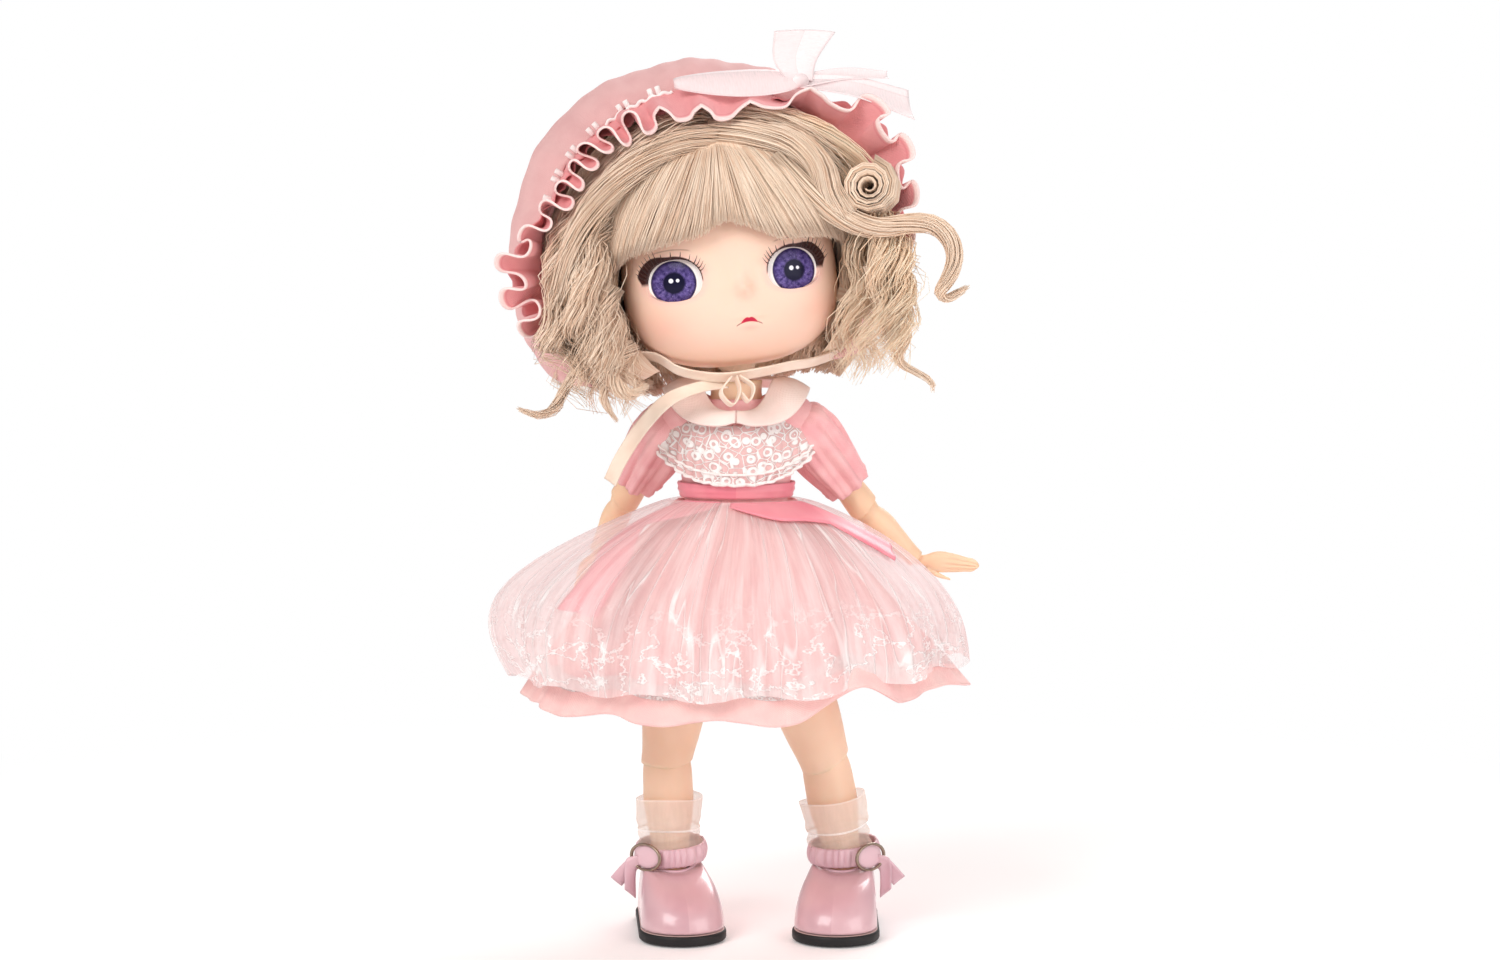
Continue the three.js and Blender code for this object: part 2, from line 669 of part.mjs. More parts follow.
function bonnetCrown() {
  const layer = (grow) => (u, v) => {
    const depth = mix(BONNET_FRONT, BONNET_BACK, Math.sin((v * Math.PI) / 2));
    return onBonnet(u * 2 * Math.PI, depth + Math.min(grow, 0) * v, grow);
  };
  const crown = between(BONNET_GATHERS * 3, 5, true, layer(-BONNET_CLOTH), layer(0));
  return cut(crown, halfSpace(point(0, 0.25, -1), point(0, 0, -18.6)));
}

function bonnetRuffle() {
  const surface = (u, v) => {
    const degrees = mix(-106, 106, u);
    const turn = rad(degrees);
    const flare = rise(Math.abs(turn), rad(15), rad(75));
    const radius = BONNET_RADIUS * mix(0.93, along(RUFFLE_EDGE, degrees, 1), v);
    const pleat = 1.7 * v * Math.sin(u * RUFFLE_PLEATS * 2 * Math.PI);
    const depth = BONNET_FRONT - GAP - BONNET_CLOTH / 2 - RUFFLE_REACH * mix(0.98, 0.8, flare) * v;
    const reach = radius + pleat;
    return point(BONNET_SHIFT + reach * Math.sin(turn), depth + pleat * 0.4, BONNET_LIFT + reach * Math.cos(turn));
  };
  return cloth(RUFFLE_PLEATS * 3, 2, false, surface, BONNET_CLOTH * 0.8);
}

function bonnetBow() {
  const top = BONNET_LIFT + BONNET_RADIUS;
  const knot = point(17.5, BONNET_FRONT - 8.4, top - 6.5);
  const leaning = () => point(0, 0.6, 0.8);
  const level = () => point(1, 0, -0.1);
  const from = (x, y, z) => knot.clone().add(point(x, y, z));
  const leftWing = [knot, from(-12.5, 0.5, 0.6), from(-24.5, 3, 2.4)];
  const rightWing = [knot, from(9.5, 0.1, -0.6), from(17.9, 3, -2.4)];
  const lowWing = [knot, from(10.5, -0.7, -2.6), from(22.1, 2.5, -7.4)];
  const tail = [knot, from(0.9, 0.9, 4.4), from(2.7, 3, 9.9)];
  return fuse(
    ball(2.6, 0, 0, 0).scale(1, 0.8, 0.9).translate(knot.x, knot.y, knot.z),
    ribbon(leftWing, 4, leaning, (t) => mix(3.5, 6, t), 1),
    ribbon(rightWing, 4, leaning, (t) => mix(3.5, 4.5, t), 1),
    ribbon(lowWing, 4, leaning, (t) => mix(3.5, 7.5, t), 1),
    ribbon(tail, 3, level, (t) => mix(6.5, 13.3, t), 1),
  );
}

function chinRibbon() {
  const low = -HEAD_CHIN - 1.1;
  const under = [
    onHead(rad(-66), rad(-36), 1.1), point(-13.6, -9.5, low + 1.9), point(-9, -10.5, low + 0.2),
    point(-3, -11, low - 0.6), point(4, -11, low - 0.5), point(9.5, -10.5, low + 0.3),
    point(14, -9.5, low + 2), onHead(rad(66), rad(-36), 1.1),
  ];
  const forward = () => point(0, -0.8, 0.6);
  return ribbon(under, 12, forward, () => RIBBON_WIDTH, 0.6);
}

// Dress
function armhole(side, room) {
  const place = shoulderPlace(side);
  return ball(SHOULDER_BALL + room, place.x, place.y, place.z);
}

function pegHole(side) {
  const place = shoulderPlace(side);
  return rod(SHOULDER_PEG + 2 * GAP, place, point(side * 4.6, place.y, place.z));
}

function bodice() {
  const layer = (grow) => (u, v) => onTorso(u * 2 * Math.PI, mix(WAIST_HEIGHT - 2, SHOULDER_HEIGHT + 1.4, v), grow);
  const shell = between(20, 4, true, layer(GAP * 2), layer(GAP * 2 + CLOTH));
  return cut(shell, armhole(-1, 2.6), armhole(1, 2.6), pegHole(-1), pegHole(1));
}

function collar() {
  const layer = (grow) => (u, v) => {
    const turn = mix(rad(4), rad(356), u);
    const front = (1 + Math.cos(turn)) / 2;
    const top = SHOULDER_HEIGHT + mix(7.2, 3.2, front ** 0.7);
    const place = onTorso(turn, top, 2.5 * GAP + mix(4.6, 5, front) * v);
    return place.setZ(top - mix(1.2, 1.6, front) * v + grow);
  };
  return cut(between(24, 2, false, layer(0), layer(CLOTH)), armhole(-1, 3.6), armhole(1, 3.6));
}

function laceBib() {
  const layer = (grow) => (u, v) => {
    const turn = mix(rad(-64), rad(64), u);
    const scallop = 0.7 * Math.abs(Math.sin(u * 9 * Math.PI));
    const lower = WAIST_HEIGHT + 3.6 + 5.5 * Math.abs(2 * u - 1) ** 2.4 - scallop;
    return onTorso(turn, mix(SHOULDER_HEIGHT + 0.4, lower, v), grow + 0.8 * v);
  };
  return between(27, 2, false, layer(3 * GAP + CLOTH), layer(3 * GAP + 2 * CLOTH));
}

function waistSash() {
  const layer = (grow) => (u, v) => onTorso(u * 2 * Math.PI, mix(WAIST_HEIGHT + 0.4, WAIST_HEIGHT + 3, v), grow);
  return between(24, 1, true, layer(3 * GAP + CLOTH), layer(3 * GAP + 2 * CLOTH));
}

function skirtPlace(turn, radius, height, v) {
  const shift = rise(v, 0, 0.6);
  const x = SKIRT_SHIFT * shift + radius * Math.sin(turn);
  return point(x, shift - radius * Math.cos(turn) * SKIRT_DEPTH_RATIO, height);
}

function onSkirt(turn, v, grow = 0) {
  const side = Math.sin(turn);
  const hem = SKIRT_HEM + 4 * side;
  const fold = 1.7 * v * Math.sin(SKIRT_FOLDS * turn + 0.8 * Math.sin(3 * turn));
  const radius = SKIRT_WAIST + (hem - SKIRT_WAIST) * v ** 0.85 + fold + grow;
  const low = HEM_HEIGHT + 4 * rise(side, 0.2, 1) + 1.1 * Math.cos(SKIRT_FOLDS * turn);
  return skirtPlace(turn, radius, mix(WAIST_HEIGHT - 0.4, low, v), v);
}

function onTulle(turn, v, grow = 0) {
  const side = Math.sin(turn);
  const left = Math.exp(-(((turn - rad(280)) / rad(42)) ** 2));
  const dents = Math.exp(-(((turn - rad(122)) / rad(24)) ** 2)) + Math.exp(-(((turn - rad(231)) / rad(24)) ** 2));
  const bulge = 4.5 + 3.5 * side * side + 6 * left - 2.5 * rise(-Math.cos(turn), 0, 1) - ARM_DENT * dents;
  const fold = 1.5 * v * Math.cos(TULLE_FOLDS * turn + 1.1 * Math.sin(2 * turn));
  const hem = TULLE_HEM + 2.5 * side;
  const radius = TULLE_WAIST + (hem - TULLE_WAIST) * v ** 0.7 + bulge * Math.sin(Math.PI * v) + fold + grow;
  const low = TULLE_HEM_HEIGHT + 3 * rise(side, 0.1, 1) + 0.8 * Math.sin(TULLE_FOLDS * turn);
  return skirtPlace(turn, radius, mix(WAIST_HEIGHT - 0.2, low, v), v);
}

function underskirt() {
  return cloth(SKIRT_FOLDS * 4, 4, true, (u, v) => onSkirt(u * 2 * Math.PI, v), CLOTH);
}

function overskirt() {
  return cloth(TULLE_FOLDS * 4, 5, true, (u, v) => onTulle(u * 2 * Math.PI, v), CLOTH);
}

function sashTail(fromTurn, toTurn, fromV, toV) {
  const layer = (grow) => (u, v) => {
    const turn = mix(rad(fromTurn), rad(toTurn), u);
    const middle = mix(fromV, toV, u ** 1.2);
    const wide = SASH_WIDTH / 50;
    return onTulle(turn, middle + (v - 0.5) * wide, grow);
  };
  return between(14, 1, false, layer(CLOTH + 2 * GAP), layer(2 * CLOTH + 2 * GAP));
}

function ribbonTail() {
  const drop = (x, y, z) => point(x, y, SHOULDER_HEIGHT + z);
  const path = [
    drop(-7.4, -9.6, 4.7), drop(-12.2, -12.6, 3), drop(-17, -13.2, -1.6), drop(-21, -11.6, -7), drop(-24.4, -9.4, -12.5),
  ];
  const sideways = () => point(0.78, -0.3, -0.55).normalize();
  return ribbon(path, 9, sideways, () => RIBBON_WIDTH, 0.6);
}

// Arms, along -Z from the joint above
const SLEEVE = [
  [-SLEEVE_LENGTH, 0.655], [-13, 0.74], [-9, 0.89], [-4, 1], [0.5, 0.97], [3.2, 0.8], [4.6, 0.42],
];

function upperArm(side, pose) {
  const end = -UPPER_ARM_LENGTH;
  const shape = revolve([
    [0, 4.6], [2.6, 3.8], [4.2, 1.9], [4.6, 0], [4.2, -3], [UPPER_ARM_RADIUS * 1.06, -7],
    [UPPER_ARM_RADIUS * 0.98, -15.5], [ELBOW_BALL + 0.5, end + 3], [ELBOW_BALL + 0.5, end - 2], [0, end - 2],
  ], LIMB_SIDES);
  const lean = rad(pose.lean);
  const inward = point(-side * Math.cos(lean), 0, Math.sin(lean));
  const rim = point(side * Math.sin(rad(RIM_SLOPE)), 0, -Math.cos(rad(RIM_SLOPE)));
  return cut(
    shape,
    socket(SHOULDER_BALL, 0, 0, 0),
    halfSpace(inward, inward.clone().multiplyScalar(0.3)),
    socket(ELBOW_BALL, 0, 0, end),
    halfSpace(rim, point(0, 0, end + 0.2)),
  );
}

function shoulderJoint(side) {
  const peg = rod(SHOULDER_PEG, point(0, 0, 0), point(side * (4.6 - SHOULDER_SPACING / 2), 0, 0));
  return fuse(ball(SHOULDER_BALL, 0, 0, 0), peg);
}

function sleeve(side, pose) {
  const surface = (u, v) => {
    const turn = u * 2 * Math.PI;
    const height = mix(-SLEEVE_LENGTH, 4.6, v);
    const gather = 1 + 0.035 * Math.sin(SLEEVE_GATHERS * turn) * Math.sin(Math.PI * v);
    const radius = SLEEVE_RADIUS * along(SLEEVE, height, 1) * gather;
    return point(radius * Math.cos(turn), radius * Math.sin(turn), height);
  };
  const puff = cloth(SLEEVE_GATHERS * 3, 5, true, surface, CLOTH);
  const lean = rad(pose.lean);
  const inward = point(-side * Math.cos(lean), 0, Math.sin(lean));
  return cut(puff, halfSpace(inward, inward.clone().multiplyScalar(1.9)));
}

function forearm() {
  const end = -FOREARM_LENGTH;
  const ballPart = [0, 30, 60, 90, 118].map((turn) => {
    return [ELBOW_BALL * Math.sin(rad(turn)), ELBOW_BALL * Math.cos(rad(turn))];
  });
  const shape = revolve([
    ...ballPart, [FOREARM_RADIUS * 0.94, -3.2], [FOREARM_RADIUS, -5.5], [FOREARM_RADIUS * 0.9, -9],
    [WRIST_RADIUS, end + 2], [WRIST_RADIUS, end + 0.4], [0, end + 0.4],
  ], LIMB_SIDES);
  return cut(shape, socket(WRIST_BALL, 0, 0, end));
}

function handShape(side) {
  const station = (height, wide, thick) => ringOf(8, (turn) => {
    return point(wide * Math.cos(turn), thick * Math.sin(turn), height);
  });
  const palm = loft([
    station(-1, 0.95, 0.95), station(-2.2, 1.2, 1.05), station(-3.6, 2.2, 1.25),
    station(-6.2, 2.55, 1.2), station(-7.4, 2.3, 0.9),
  ]);
  const fingers = [-1.8, -0.6, 0.6, 1.8].map((x, i) => {
    const length = [5.2, 6.4, 6.8, 5.8][side > 0 ? i : 3 - i];
    const path = [point(x, 0, -6.4), point(x * 0.95, -0.4, -6.6 - length * 0.6), point(x * 0.7, -0.1, -6.8 - length)];
    return lock(path, 4, 2, (t) => mix(0.82, 0.45, t));
  });
  const thumbPath = [point(-side * 1.6, 0, -3.2), point(-side * 3.2, -0.5, -5.4), point(-side * 3.6, -0.9, -7.6)];
  const thumb = lock(thumbPath, 5, 2, (t) => mix(0.9, 0.45, t));
  return fuse(ball(WRIST_BALL, 0, 0, 0), palm, thumb, ...fingers);
}

// Legs, along -Z from the joint above
function hipJoint(side, hip) {
  const peg = rod(HIP_PEG, point(0, 0, 0), point(side * 2.6 - hip.x, 0, 0));
  return fuse(ball(HIP_BALL, 0, 0, 0), peg);
}

function thighShape(side, pose, lean) {
  const end = -THIGH_LENGTH;
  const shape = revolve([
    [0, THIGH_RADIUS], [THIGH_RADIUS * 0.6, THIGH_RADIUS * 0.8], [THIGH_RADIUS * 0.95, 2], [THIGH_RADIUS, -2],
    [THIGH_RADIUS, -9], [THIGH_RADIUS * 0.94, -14], [KNEE_RADIUS, end + 4], [KNEE_RADIUS, end - 2], [0, end - 2],
  ], LIMB_SIDES);
  const inward = point(-side * Math.cos(lean), 0, Math.sin(lean));
  const rim = point(0, Math.sin(rad(RIM_SLOPE)), -Math.cos(rad(RIM_SLOPE)));
  return cut(
    shape,
    socket(HIP_BALL, 0, 0, 0),
    halfSpace(inward, inward.clone().multiplyScalar(0.6)),
    socket(KNEE_BALL, 0, 0, end),
    halfSpace(rim, point(0, 0, end + 0.2)),
  );
}

function shinShape() {
  const end = -SHIN_LENGTH;
  const ballPart = [0, 30, 60, 90, 120].map((turn) => {
    return [KNEE_BALL * Math.sin(rad(turn)), KNEE_BALL * Math.cos(rad(turn))];
  });
  const shape = revolve([
    ...ballPart, [KNEE_BALL * 0.94, -4], [CALF_RADIUS * 0.98, -6], [CALF_RADIUS, -8.5],
    [CALF_RADIUS * 0.92, -12], [ANKLE_RADIUS, end + 4.5], [ANKLE_RADIUS, end + 0.3], [0, end + 0.3],
  ], LIMB_SIDES);
  return cut(shape, socket(ANKLE_BALL, 0, 0, end));
}

function sockShape() {
  const end = -SHIN_LENGTH;
  const top = SOCK_TOP - ANKLE_HEIGHT - SHIN_LENGTH;
  const skin = [
    [end, ANKLE_RADIUS], [end + 4.5, ANKLE_RADIUS], [-12, CALF_RADIUS * 0.92], [-8.5, CALF_RADIUS],
    [-6, CALF_RADIUS * 0.98], [-4, KNEE_BALL],
  ];
  const layer = (grow) => (u, v) => {
    const turn = u * 2 * Math.PI;
    const height = mix(end + 1, top, v);
    const cuff = v > 0.8 ? 0.25 : 0;
    const radius = along(skin, height, 1) + grow + (grow > GAP ? cuff : 0);
    return point(radius * Math.cos(turn), radius * Math.sin(turn), height);
  };
  return between(LIMB_SIDES, 4, true, layer(GAP), layer(GAP + SOCK_WALL));
}

// Feet and shoes, from the floor below the ankle, toe towards -Y
function soleOutline(turn, inset) {
  const toward = Math.cos(turn);
  const centre = toward > 0 ? TOE_CENTRE : HEEL_CENTRE;
  const radius = (toward > 0 ? TOE_RADIUS : HEEL_RADIUS) - inset;
  const waist = 1 - 0.12 * Math.sin(turn) ** 8;
  return point(radius * Math.sin(turn) * waist, centre - radius * Math.cos(turn), 0);
}

function soleShape() {
  const outline = (height, inset) => ringOf(26, (turn) => soleOutline(turn, inset).setZ(height));
  return loft([outline(0, 0.5), outline(0.6, 0), outline(SOLE_THICKNESS, 0)]);
}

function throat(turn, height) {
  const front = (1 + Math.cos(turn)) / 2;
  return point(5.6 * Math.sin(turn), mix(9.2, -6.4, front), height - 1.9 * front ** 2);
}

function shoeUpper() {
  const layer = (inset) => (u, v) => {
    const turn = u * 2 * Math.PI;
    const low = soleOutline(turn, 0.5 + inset);
    const high = throat(turn, 14);
    const inward = 1 - Math.cos((v * Math.PI) / 2);
    const upward = Math.sin((v * Math.PI) / 2);
    const base = SOLE_THICKNESS + GAP;
    const x = mix(low.x, high.x * (1 - inset * 0.02), inward);
    const y = mix(low.y, high.y, inward);
    return point(x, y, mix(base, high.z - inset * mix(1, 0.1, 1 - inward), upward));
  };
  return between(20, 3, true, layer(SHOE_WALL), layer(0));
}

function strapShape(side) {
  const layer = (grow) => (u, v) => {
    const turn = u * 2 * Math.PI;
    const height = 14.4 + GAP + STRAP_HEIGHT * v + 0.4 * Math.sin(turn);
    return point((STRAP_RADIUS + grow) * Math.sin(turn), -(STRAP_RADIUS + grow) * Math.cos(turn), height);
  };
  const band = between(20, 1, true, layer(0), layer(CLOTH));
  const root = point(side * (STRAP_RADIUS + 0.5), 0.8, 16.6);
  const tailPath = [root, root.clone().add(point(side * 2.6, 1, -1.6)), root.clone().add(point(side * 5, 2.4, -5))];
  const tail = ribbon(tailPath, 4, () => point(side * 0.5, -0.75, 0.43), () => 3.2, 0.6);
  return fuse(band, tail);
}

function buckleShape(side) {
  const ring = new THREE.TorusGeometry(BUCKLE_RADIUS, 0.42, 5, 12);
  const turn = rad(58);
  const reach = STRAP_RADIUS + CLOTH + 0.42 + GAP + 0.1;
  ring.rotateX(Math.PI / 2).rotateZ(side * turn);
  return ring.translate(side * reach * Math.sin(turn), -reach * Math.cos(turn), 16.4);
}

function footShape() {
  const station = (depth, wide, low, high) => ringOf(10, (turn) => {
    return point(wide * Math.sin(turn), depth, mix(low, high, (1 - Math.cos(turn)) / 2));
  });
  const floor = SOLE_THICKNESS + GAP;
  const foot = loft([
    station(6.4, 2.6, floor + 0.6, 7), station(3, 4.4, floor, 9.6), station(-3, 4.6, floor, 9),
    station(-9, 5.6, floor, 6.6), station(-14, 6, floor, 5.4), station(-17.5, 4.4, floor + 0.4, 4.6),
  ]);
  const column = rod(2.2, point(0, 0, 5), point(0, 0, ANKLE_HEIGHT));
  return fuse(foot, column, ball(ANKLE_BALL, 0, 0, ANKLE_HEIGHT)).translate(0, 0, -ANKLE_HEIGHT);
}

// Assembly
function addTorso() {
  piece(figure, "torso", torsoShape(), SKIN);
  piece(figure, "dress_bodice", bodice(), DRESS_PINK);
  piece(figure, "dress_collar", collar(), CREAM);
  piece(figure, "lace_bib", laceBib(), LACE);
  piece(figure, "waist_sash", waistSash(), SASH);
  piece(figure, "underskirt", underskirt(), DRESS_PINK);
  piece(figure, "tulle_overskirt", overskirt(), TULLE);
  piece(figure, "left_sash_tail", sashTail(18, 82, 0.06, 0.3), SASH);
  piece(figure, "right_sash_tail", sashTail(342, 292, 0.06, 0.55), SASH);
  piece(figure, "bonnet_ribbon_tail", ribbonTail(), CREAM);
}

function addHead() {
  const turn = pivot(figure, "head_turn", 0, 0, NECK_FOOT_HEIGHT);
  turn.rotation.z = rad(POSE.neck.turn);
  piece(turn, "neck_base", neckBase(), JOINT);
  const nod = pivot(turn, "head_nod", 0, 0, 0);
  piece(nod, "neck_peg", neckPeg(), JOINT);
  const tilt = pivot(nod, "head_tilt", 0, 0, HEAD_BALL_HEIGHT - NECK_FOOT_HEIGHT);
  tilt.rotation.y = rad(POSE.neck.tilt);
  const head = pivot(tilt, "head_centre", 0, -HEAD_BEFORE_BALL, HEAD_ABOVE_BALL);
  piece(head, "head_face", faceShape(), SKIN);
  piece(head, "head_cap", headHalf(1), SKIN);
  magnetPlaces().forEach((place, i) => {
    const name = ["right", "left"][i];
    piece(head, `${name}_face_magnet`, magnet(place, -1, 0), STEEL);
    piece(head, `${name}_cap_magnet`, magnet(place, 1, 0), STEEL);
  });
  for (const [name, side] of [["left", 1], ["right", -1]]) {
    piece(head, `${name}_eye`, eyeShape(side), IRIS);
    piece(head, `${name}_eyelash`, lashShape(side), LASH);
  }
  piece(head, "wig_cap", wigCap(), HAIR);
  piece(head, "wig_fringe", fringe(0), HAIR);
  piece(head, "wig_left_curls", leftHair(), HAIR);
  piece(head, "wig_right_curls", rightHair(), HAIR);
  piece(head, "wig_back", backHair(), HAIR);
  piece(head, "wig_crown", crownHair(), HAIR);
  piece(head, "bonnet_crown", bonnetCrown(), BONNET_PINK);
  piece(head, "bonnet_ruffle", bonnetRuffle(), BONNET_PINK);
  piece(head, "bonnet_bow", bonnetBow(), ORGANZA);
  piece(head, "chin_ribbon", chinRibbon(), CREAM);
}

function addArm(name, side, pose) {
  const place = shoulderPlace(side);
  const swing = pivot(figure, `${name}_shoulder_swing`, place.x, place.y, place.z);
  swing.rotation.x = rad(pose.swing);
  piece(swing, `${name}_shoulder_joint`, shoulderJoint(side), JOINT);
  const raise = pivot(swing, `${name}_shoulder_raise`, 0, 0, 0);
  raise.rotation.y = -side * rad(pose.lean);
  piece(raise, `${name}_upper_arm`, upperArm(side, pose), SKIN);
  piece(raise, `${name}_sleeve`, sleeve(side, pose), DRESS_PINK);
  const elbow = pivot(raise, `${name}_elbow_bend`, 0, 0, -UPPER_ARM_LENGTH);
  elbow.rotation.y = -side * rad(pose.elbow);
  piece(elbow, `${name}_forearm`, forearm(), SKIN);
  const wrist = pivot(elbow, `${name}_wrist_turn`, 0, 0, -FOREARM_LENGTH);
  const hand = pivot(wrist, "", 0, 0, 0);
  hand.rotation.y = -side * rad(pose.wrist);
  piece(hand, `${name}_hand`, handShape(side), SKIN);
}

function addLeg(name, side, pose) {
  const { ankle, knee, hip } = legPoints(side, pose);
  const swing = pivot(figure, `${name}_hip_swing`, hip.x, hip.y, hip.z);
  piece(swing, `${name}_hip_joint`, hipJoint(side, hip), JOINT);
  const lean = Math.atan2(side * (knee.x - hip.x), hip.z - knee.z);
  const spread = pivot(swing, `${name}_hip_spread`, 0, 0, 0);
  spread.rotation.y = -side * lean;
  piece(spread, `${name}_thigh`, thighShape(side, pose, lean), SKIN);
  const bend = pivot(figure, `${name}_knee_bend`, knee.x, knee.y, knee.z);
  bend.rotation.y = -side * rad(pose.shin);
  piece(bend, `${name}_shin`, shinShape(), SKIN);
  piece(bend, `${name}_sock`, sockShape(), SOCK);
  const tilt = pivot(figure, `${name}_ankle_tilt`, ankle.x, ankle.y, ankle.z);
  tilt.rotation.z = side * rad(-pose.toe);
  piece(tilt, `${name}_foot`, footShape(), SKIN);
  const floor = pivot(tilt, "", 0, 0, -ANKLE_HEIGHT);
  piece(floor, `${name}_shoe_sole`, soleShape(), RUBBER);
  piece(floor, `${name}_shoe_upper`, shoeUpper(), SATIN);
  piece(floor, `${name}_shoe_strap`, strapShape(side), SATIN);
  piece(floor, `${name}_shoe_buckle`, buckleShape(side), STEEL);
}

addTorso();
addHead();
addArm("left", 1, POSE.left);
addArm("right", -1, POSE.right);
addLeg("left", 1, POSE.left);
addLeg("right", -1, POSE.right);

// The origin is on the floor, under the middle of the whole box
const box = new THREE.Box3().setFromObject(doll, true);
figure.position.set(-(box.min.x + box.max.x) / 2, -(box.min.y + box.max.y) / 2, -box.min.z);

export default doll;
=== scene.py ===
# %% [markdown]
# This lesson dresses a small ball-jointed doll. Its solids come packed from the CAD step and stay
# where they are. Blender adds the looks: smooth skin, glossy eyes, mohair, folded cloth and satin.
# Everything is in metres in the doll's own frame, with +Z up and the face looking along -Y.

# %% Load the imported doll
import json
import math
from contextlib import contextmanager

import bpy
import numpy as np
from mathutils import Matrix, Vector


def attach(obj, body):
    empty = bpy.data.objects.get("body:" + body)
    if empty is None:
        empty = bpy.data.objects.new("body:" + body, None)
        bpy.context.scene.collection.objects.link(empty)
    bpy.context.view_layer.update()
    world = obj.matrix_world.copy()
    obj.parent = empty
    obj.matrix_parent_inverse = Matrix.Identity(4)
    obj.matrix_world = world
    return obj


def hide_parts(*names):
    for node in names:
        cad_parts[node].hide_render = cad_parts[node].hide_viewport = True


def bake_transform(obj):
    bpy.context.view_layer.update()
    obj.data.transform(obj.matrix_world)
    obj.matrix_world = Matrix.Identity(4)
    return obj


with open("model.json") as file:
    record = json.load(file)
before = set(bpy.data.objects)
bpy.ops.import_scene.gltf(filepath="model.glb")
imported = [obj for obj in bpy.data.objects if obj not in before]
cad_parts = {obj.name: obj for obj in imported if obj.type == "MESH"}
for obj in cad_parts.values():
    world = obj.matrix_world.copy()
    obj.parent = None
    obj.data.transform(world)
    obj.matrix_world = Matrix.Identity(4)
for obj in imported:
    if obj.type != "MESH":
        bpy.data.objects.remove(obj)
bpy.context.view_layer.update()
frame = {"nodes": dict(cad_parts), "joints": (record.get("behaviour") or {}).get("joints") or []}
joints = {joint["name"]: joint for joint in frame["joints"]}
dice = np.random.default_rng(7)

# %% [markdown]
# The photograph looks almost level at the doll's face, a little down on the shoes. The camera
# stands 600 mm in front at face height with a long lens, so that the head isn't swollen by
# perspective. It comes first, because every later choice is judged through it.

# %% Camera
MM = 0.001
EYE_POINT = Vector((2.4, -600, 135)) * MM
AIM_POINT = Vector((2.4, 0, 93.6)) * MM
scene = bpy.context.scene


def added(name, operator, **settings):
    bpy.ops.object.select_all(action="DESELECT")
    operator(**settings)
    bpy.context.object.name = name
    return bpy.context.object


def aimed(start, goal):
    return (goal - start).to_track_quat("-Z", "Y").to_euler()


camera = added("Camera", bpy.ops.object.camera_add, location=EYE_POINT,
               rotation=aimed(EYE_POINT, AIM_POINT))
camera.data.lens = 69.4
camera.data.sensor_width = 36
camera.data.clip_start = 0.01
scene.camera = camera
scene.view_settings.view_transform = "Standard"
print("camera at", tuple(round(c, 3) for c in EYE_POINT))

# %% [markdown]
# Shader sums are easier to read as Python sums. Value wraps one socket and knows plus, minus,
# times and so on. Paint is one finish: it owns a material with a Principled shader, and its node
# method adds any node by type, settings and socket values. Colours are given as they look on
# screen and turned into linear light, because that is what the shader expects.

# %% Shader tools
class Value:
    def __init__(self, paint, socket):
        self.paint = paint
        self.socket = socket

    def sum_with(self, operation, other=0.0, swapped=False):
        first, second = (other, self) if swapped else (self, other)
        return self.paint.node("ShaderNodeMath", {"operation": operation}, {0: first, 1: second})

    def __add__(self, other):
        return self.sum_with("ADD", other)

    def __sub__(self, other):
        return self.sum_with("SUBTRACT", other)

    def __rsub__(self, other):
        return self.sum_with("SUBTRACT", other, True)

    def __mul__(self, other):
        return self.sum_with("MULTIPLY", other)

    def __truediv__(self, other):
        return self.sum_with("DIVIDE", other)

    def __pow__(self, other):
        return self.sum_with("POWER", other)

    def __abs__(self):
        return self.sum_with("ABSOLUTE")

    def least(self, other):
        return self.sum_with("MINIMUM", other)

    def most(self, other):
        return self.sum_with("MAXIMUM", other)

    def sine(self):
        return self.sum_with("SINE")

    __radd__ = __add__
    __rmul__ = __mul__


def rgb(red, green, blue):
    def linear(channel):
        share = channel / 255
        return share / 12.92 if share <= 0.04045 else ((share + 0.055) / 1.055) ** 2.4
    return (linear(red), linear(green), linear(blue), 1.0)


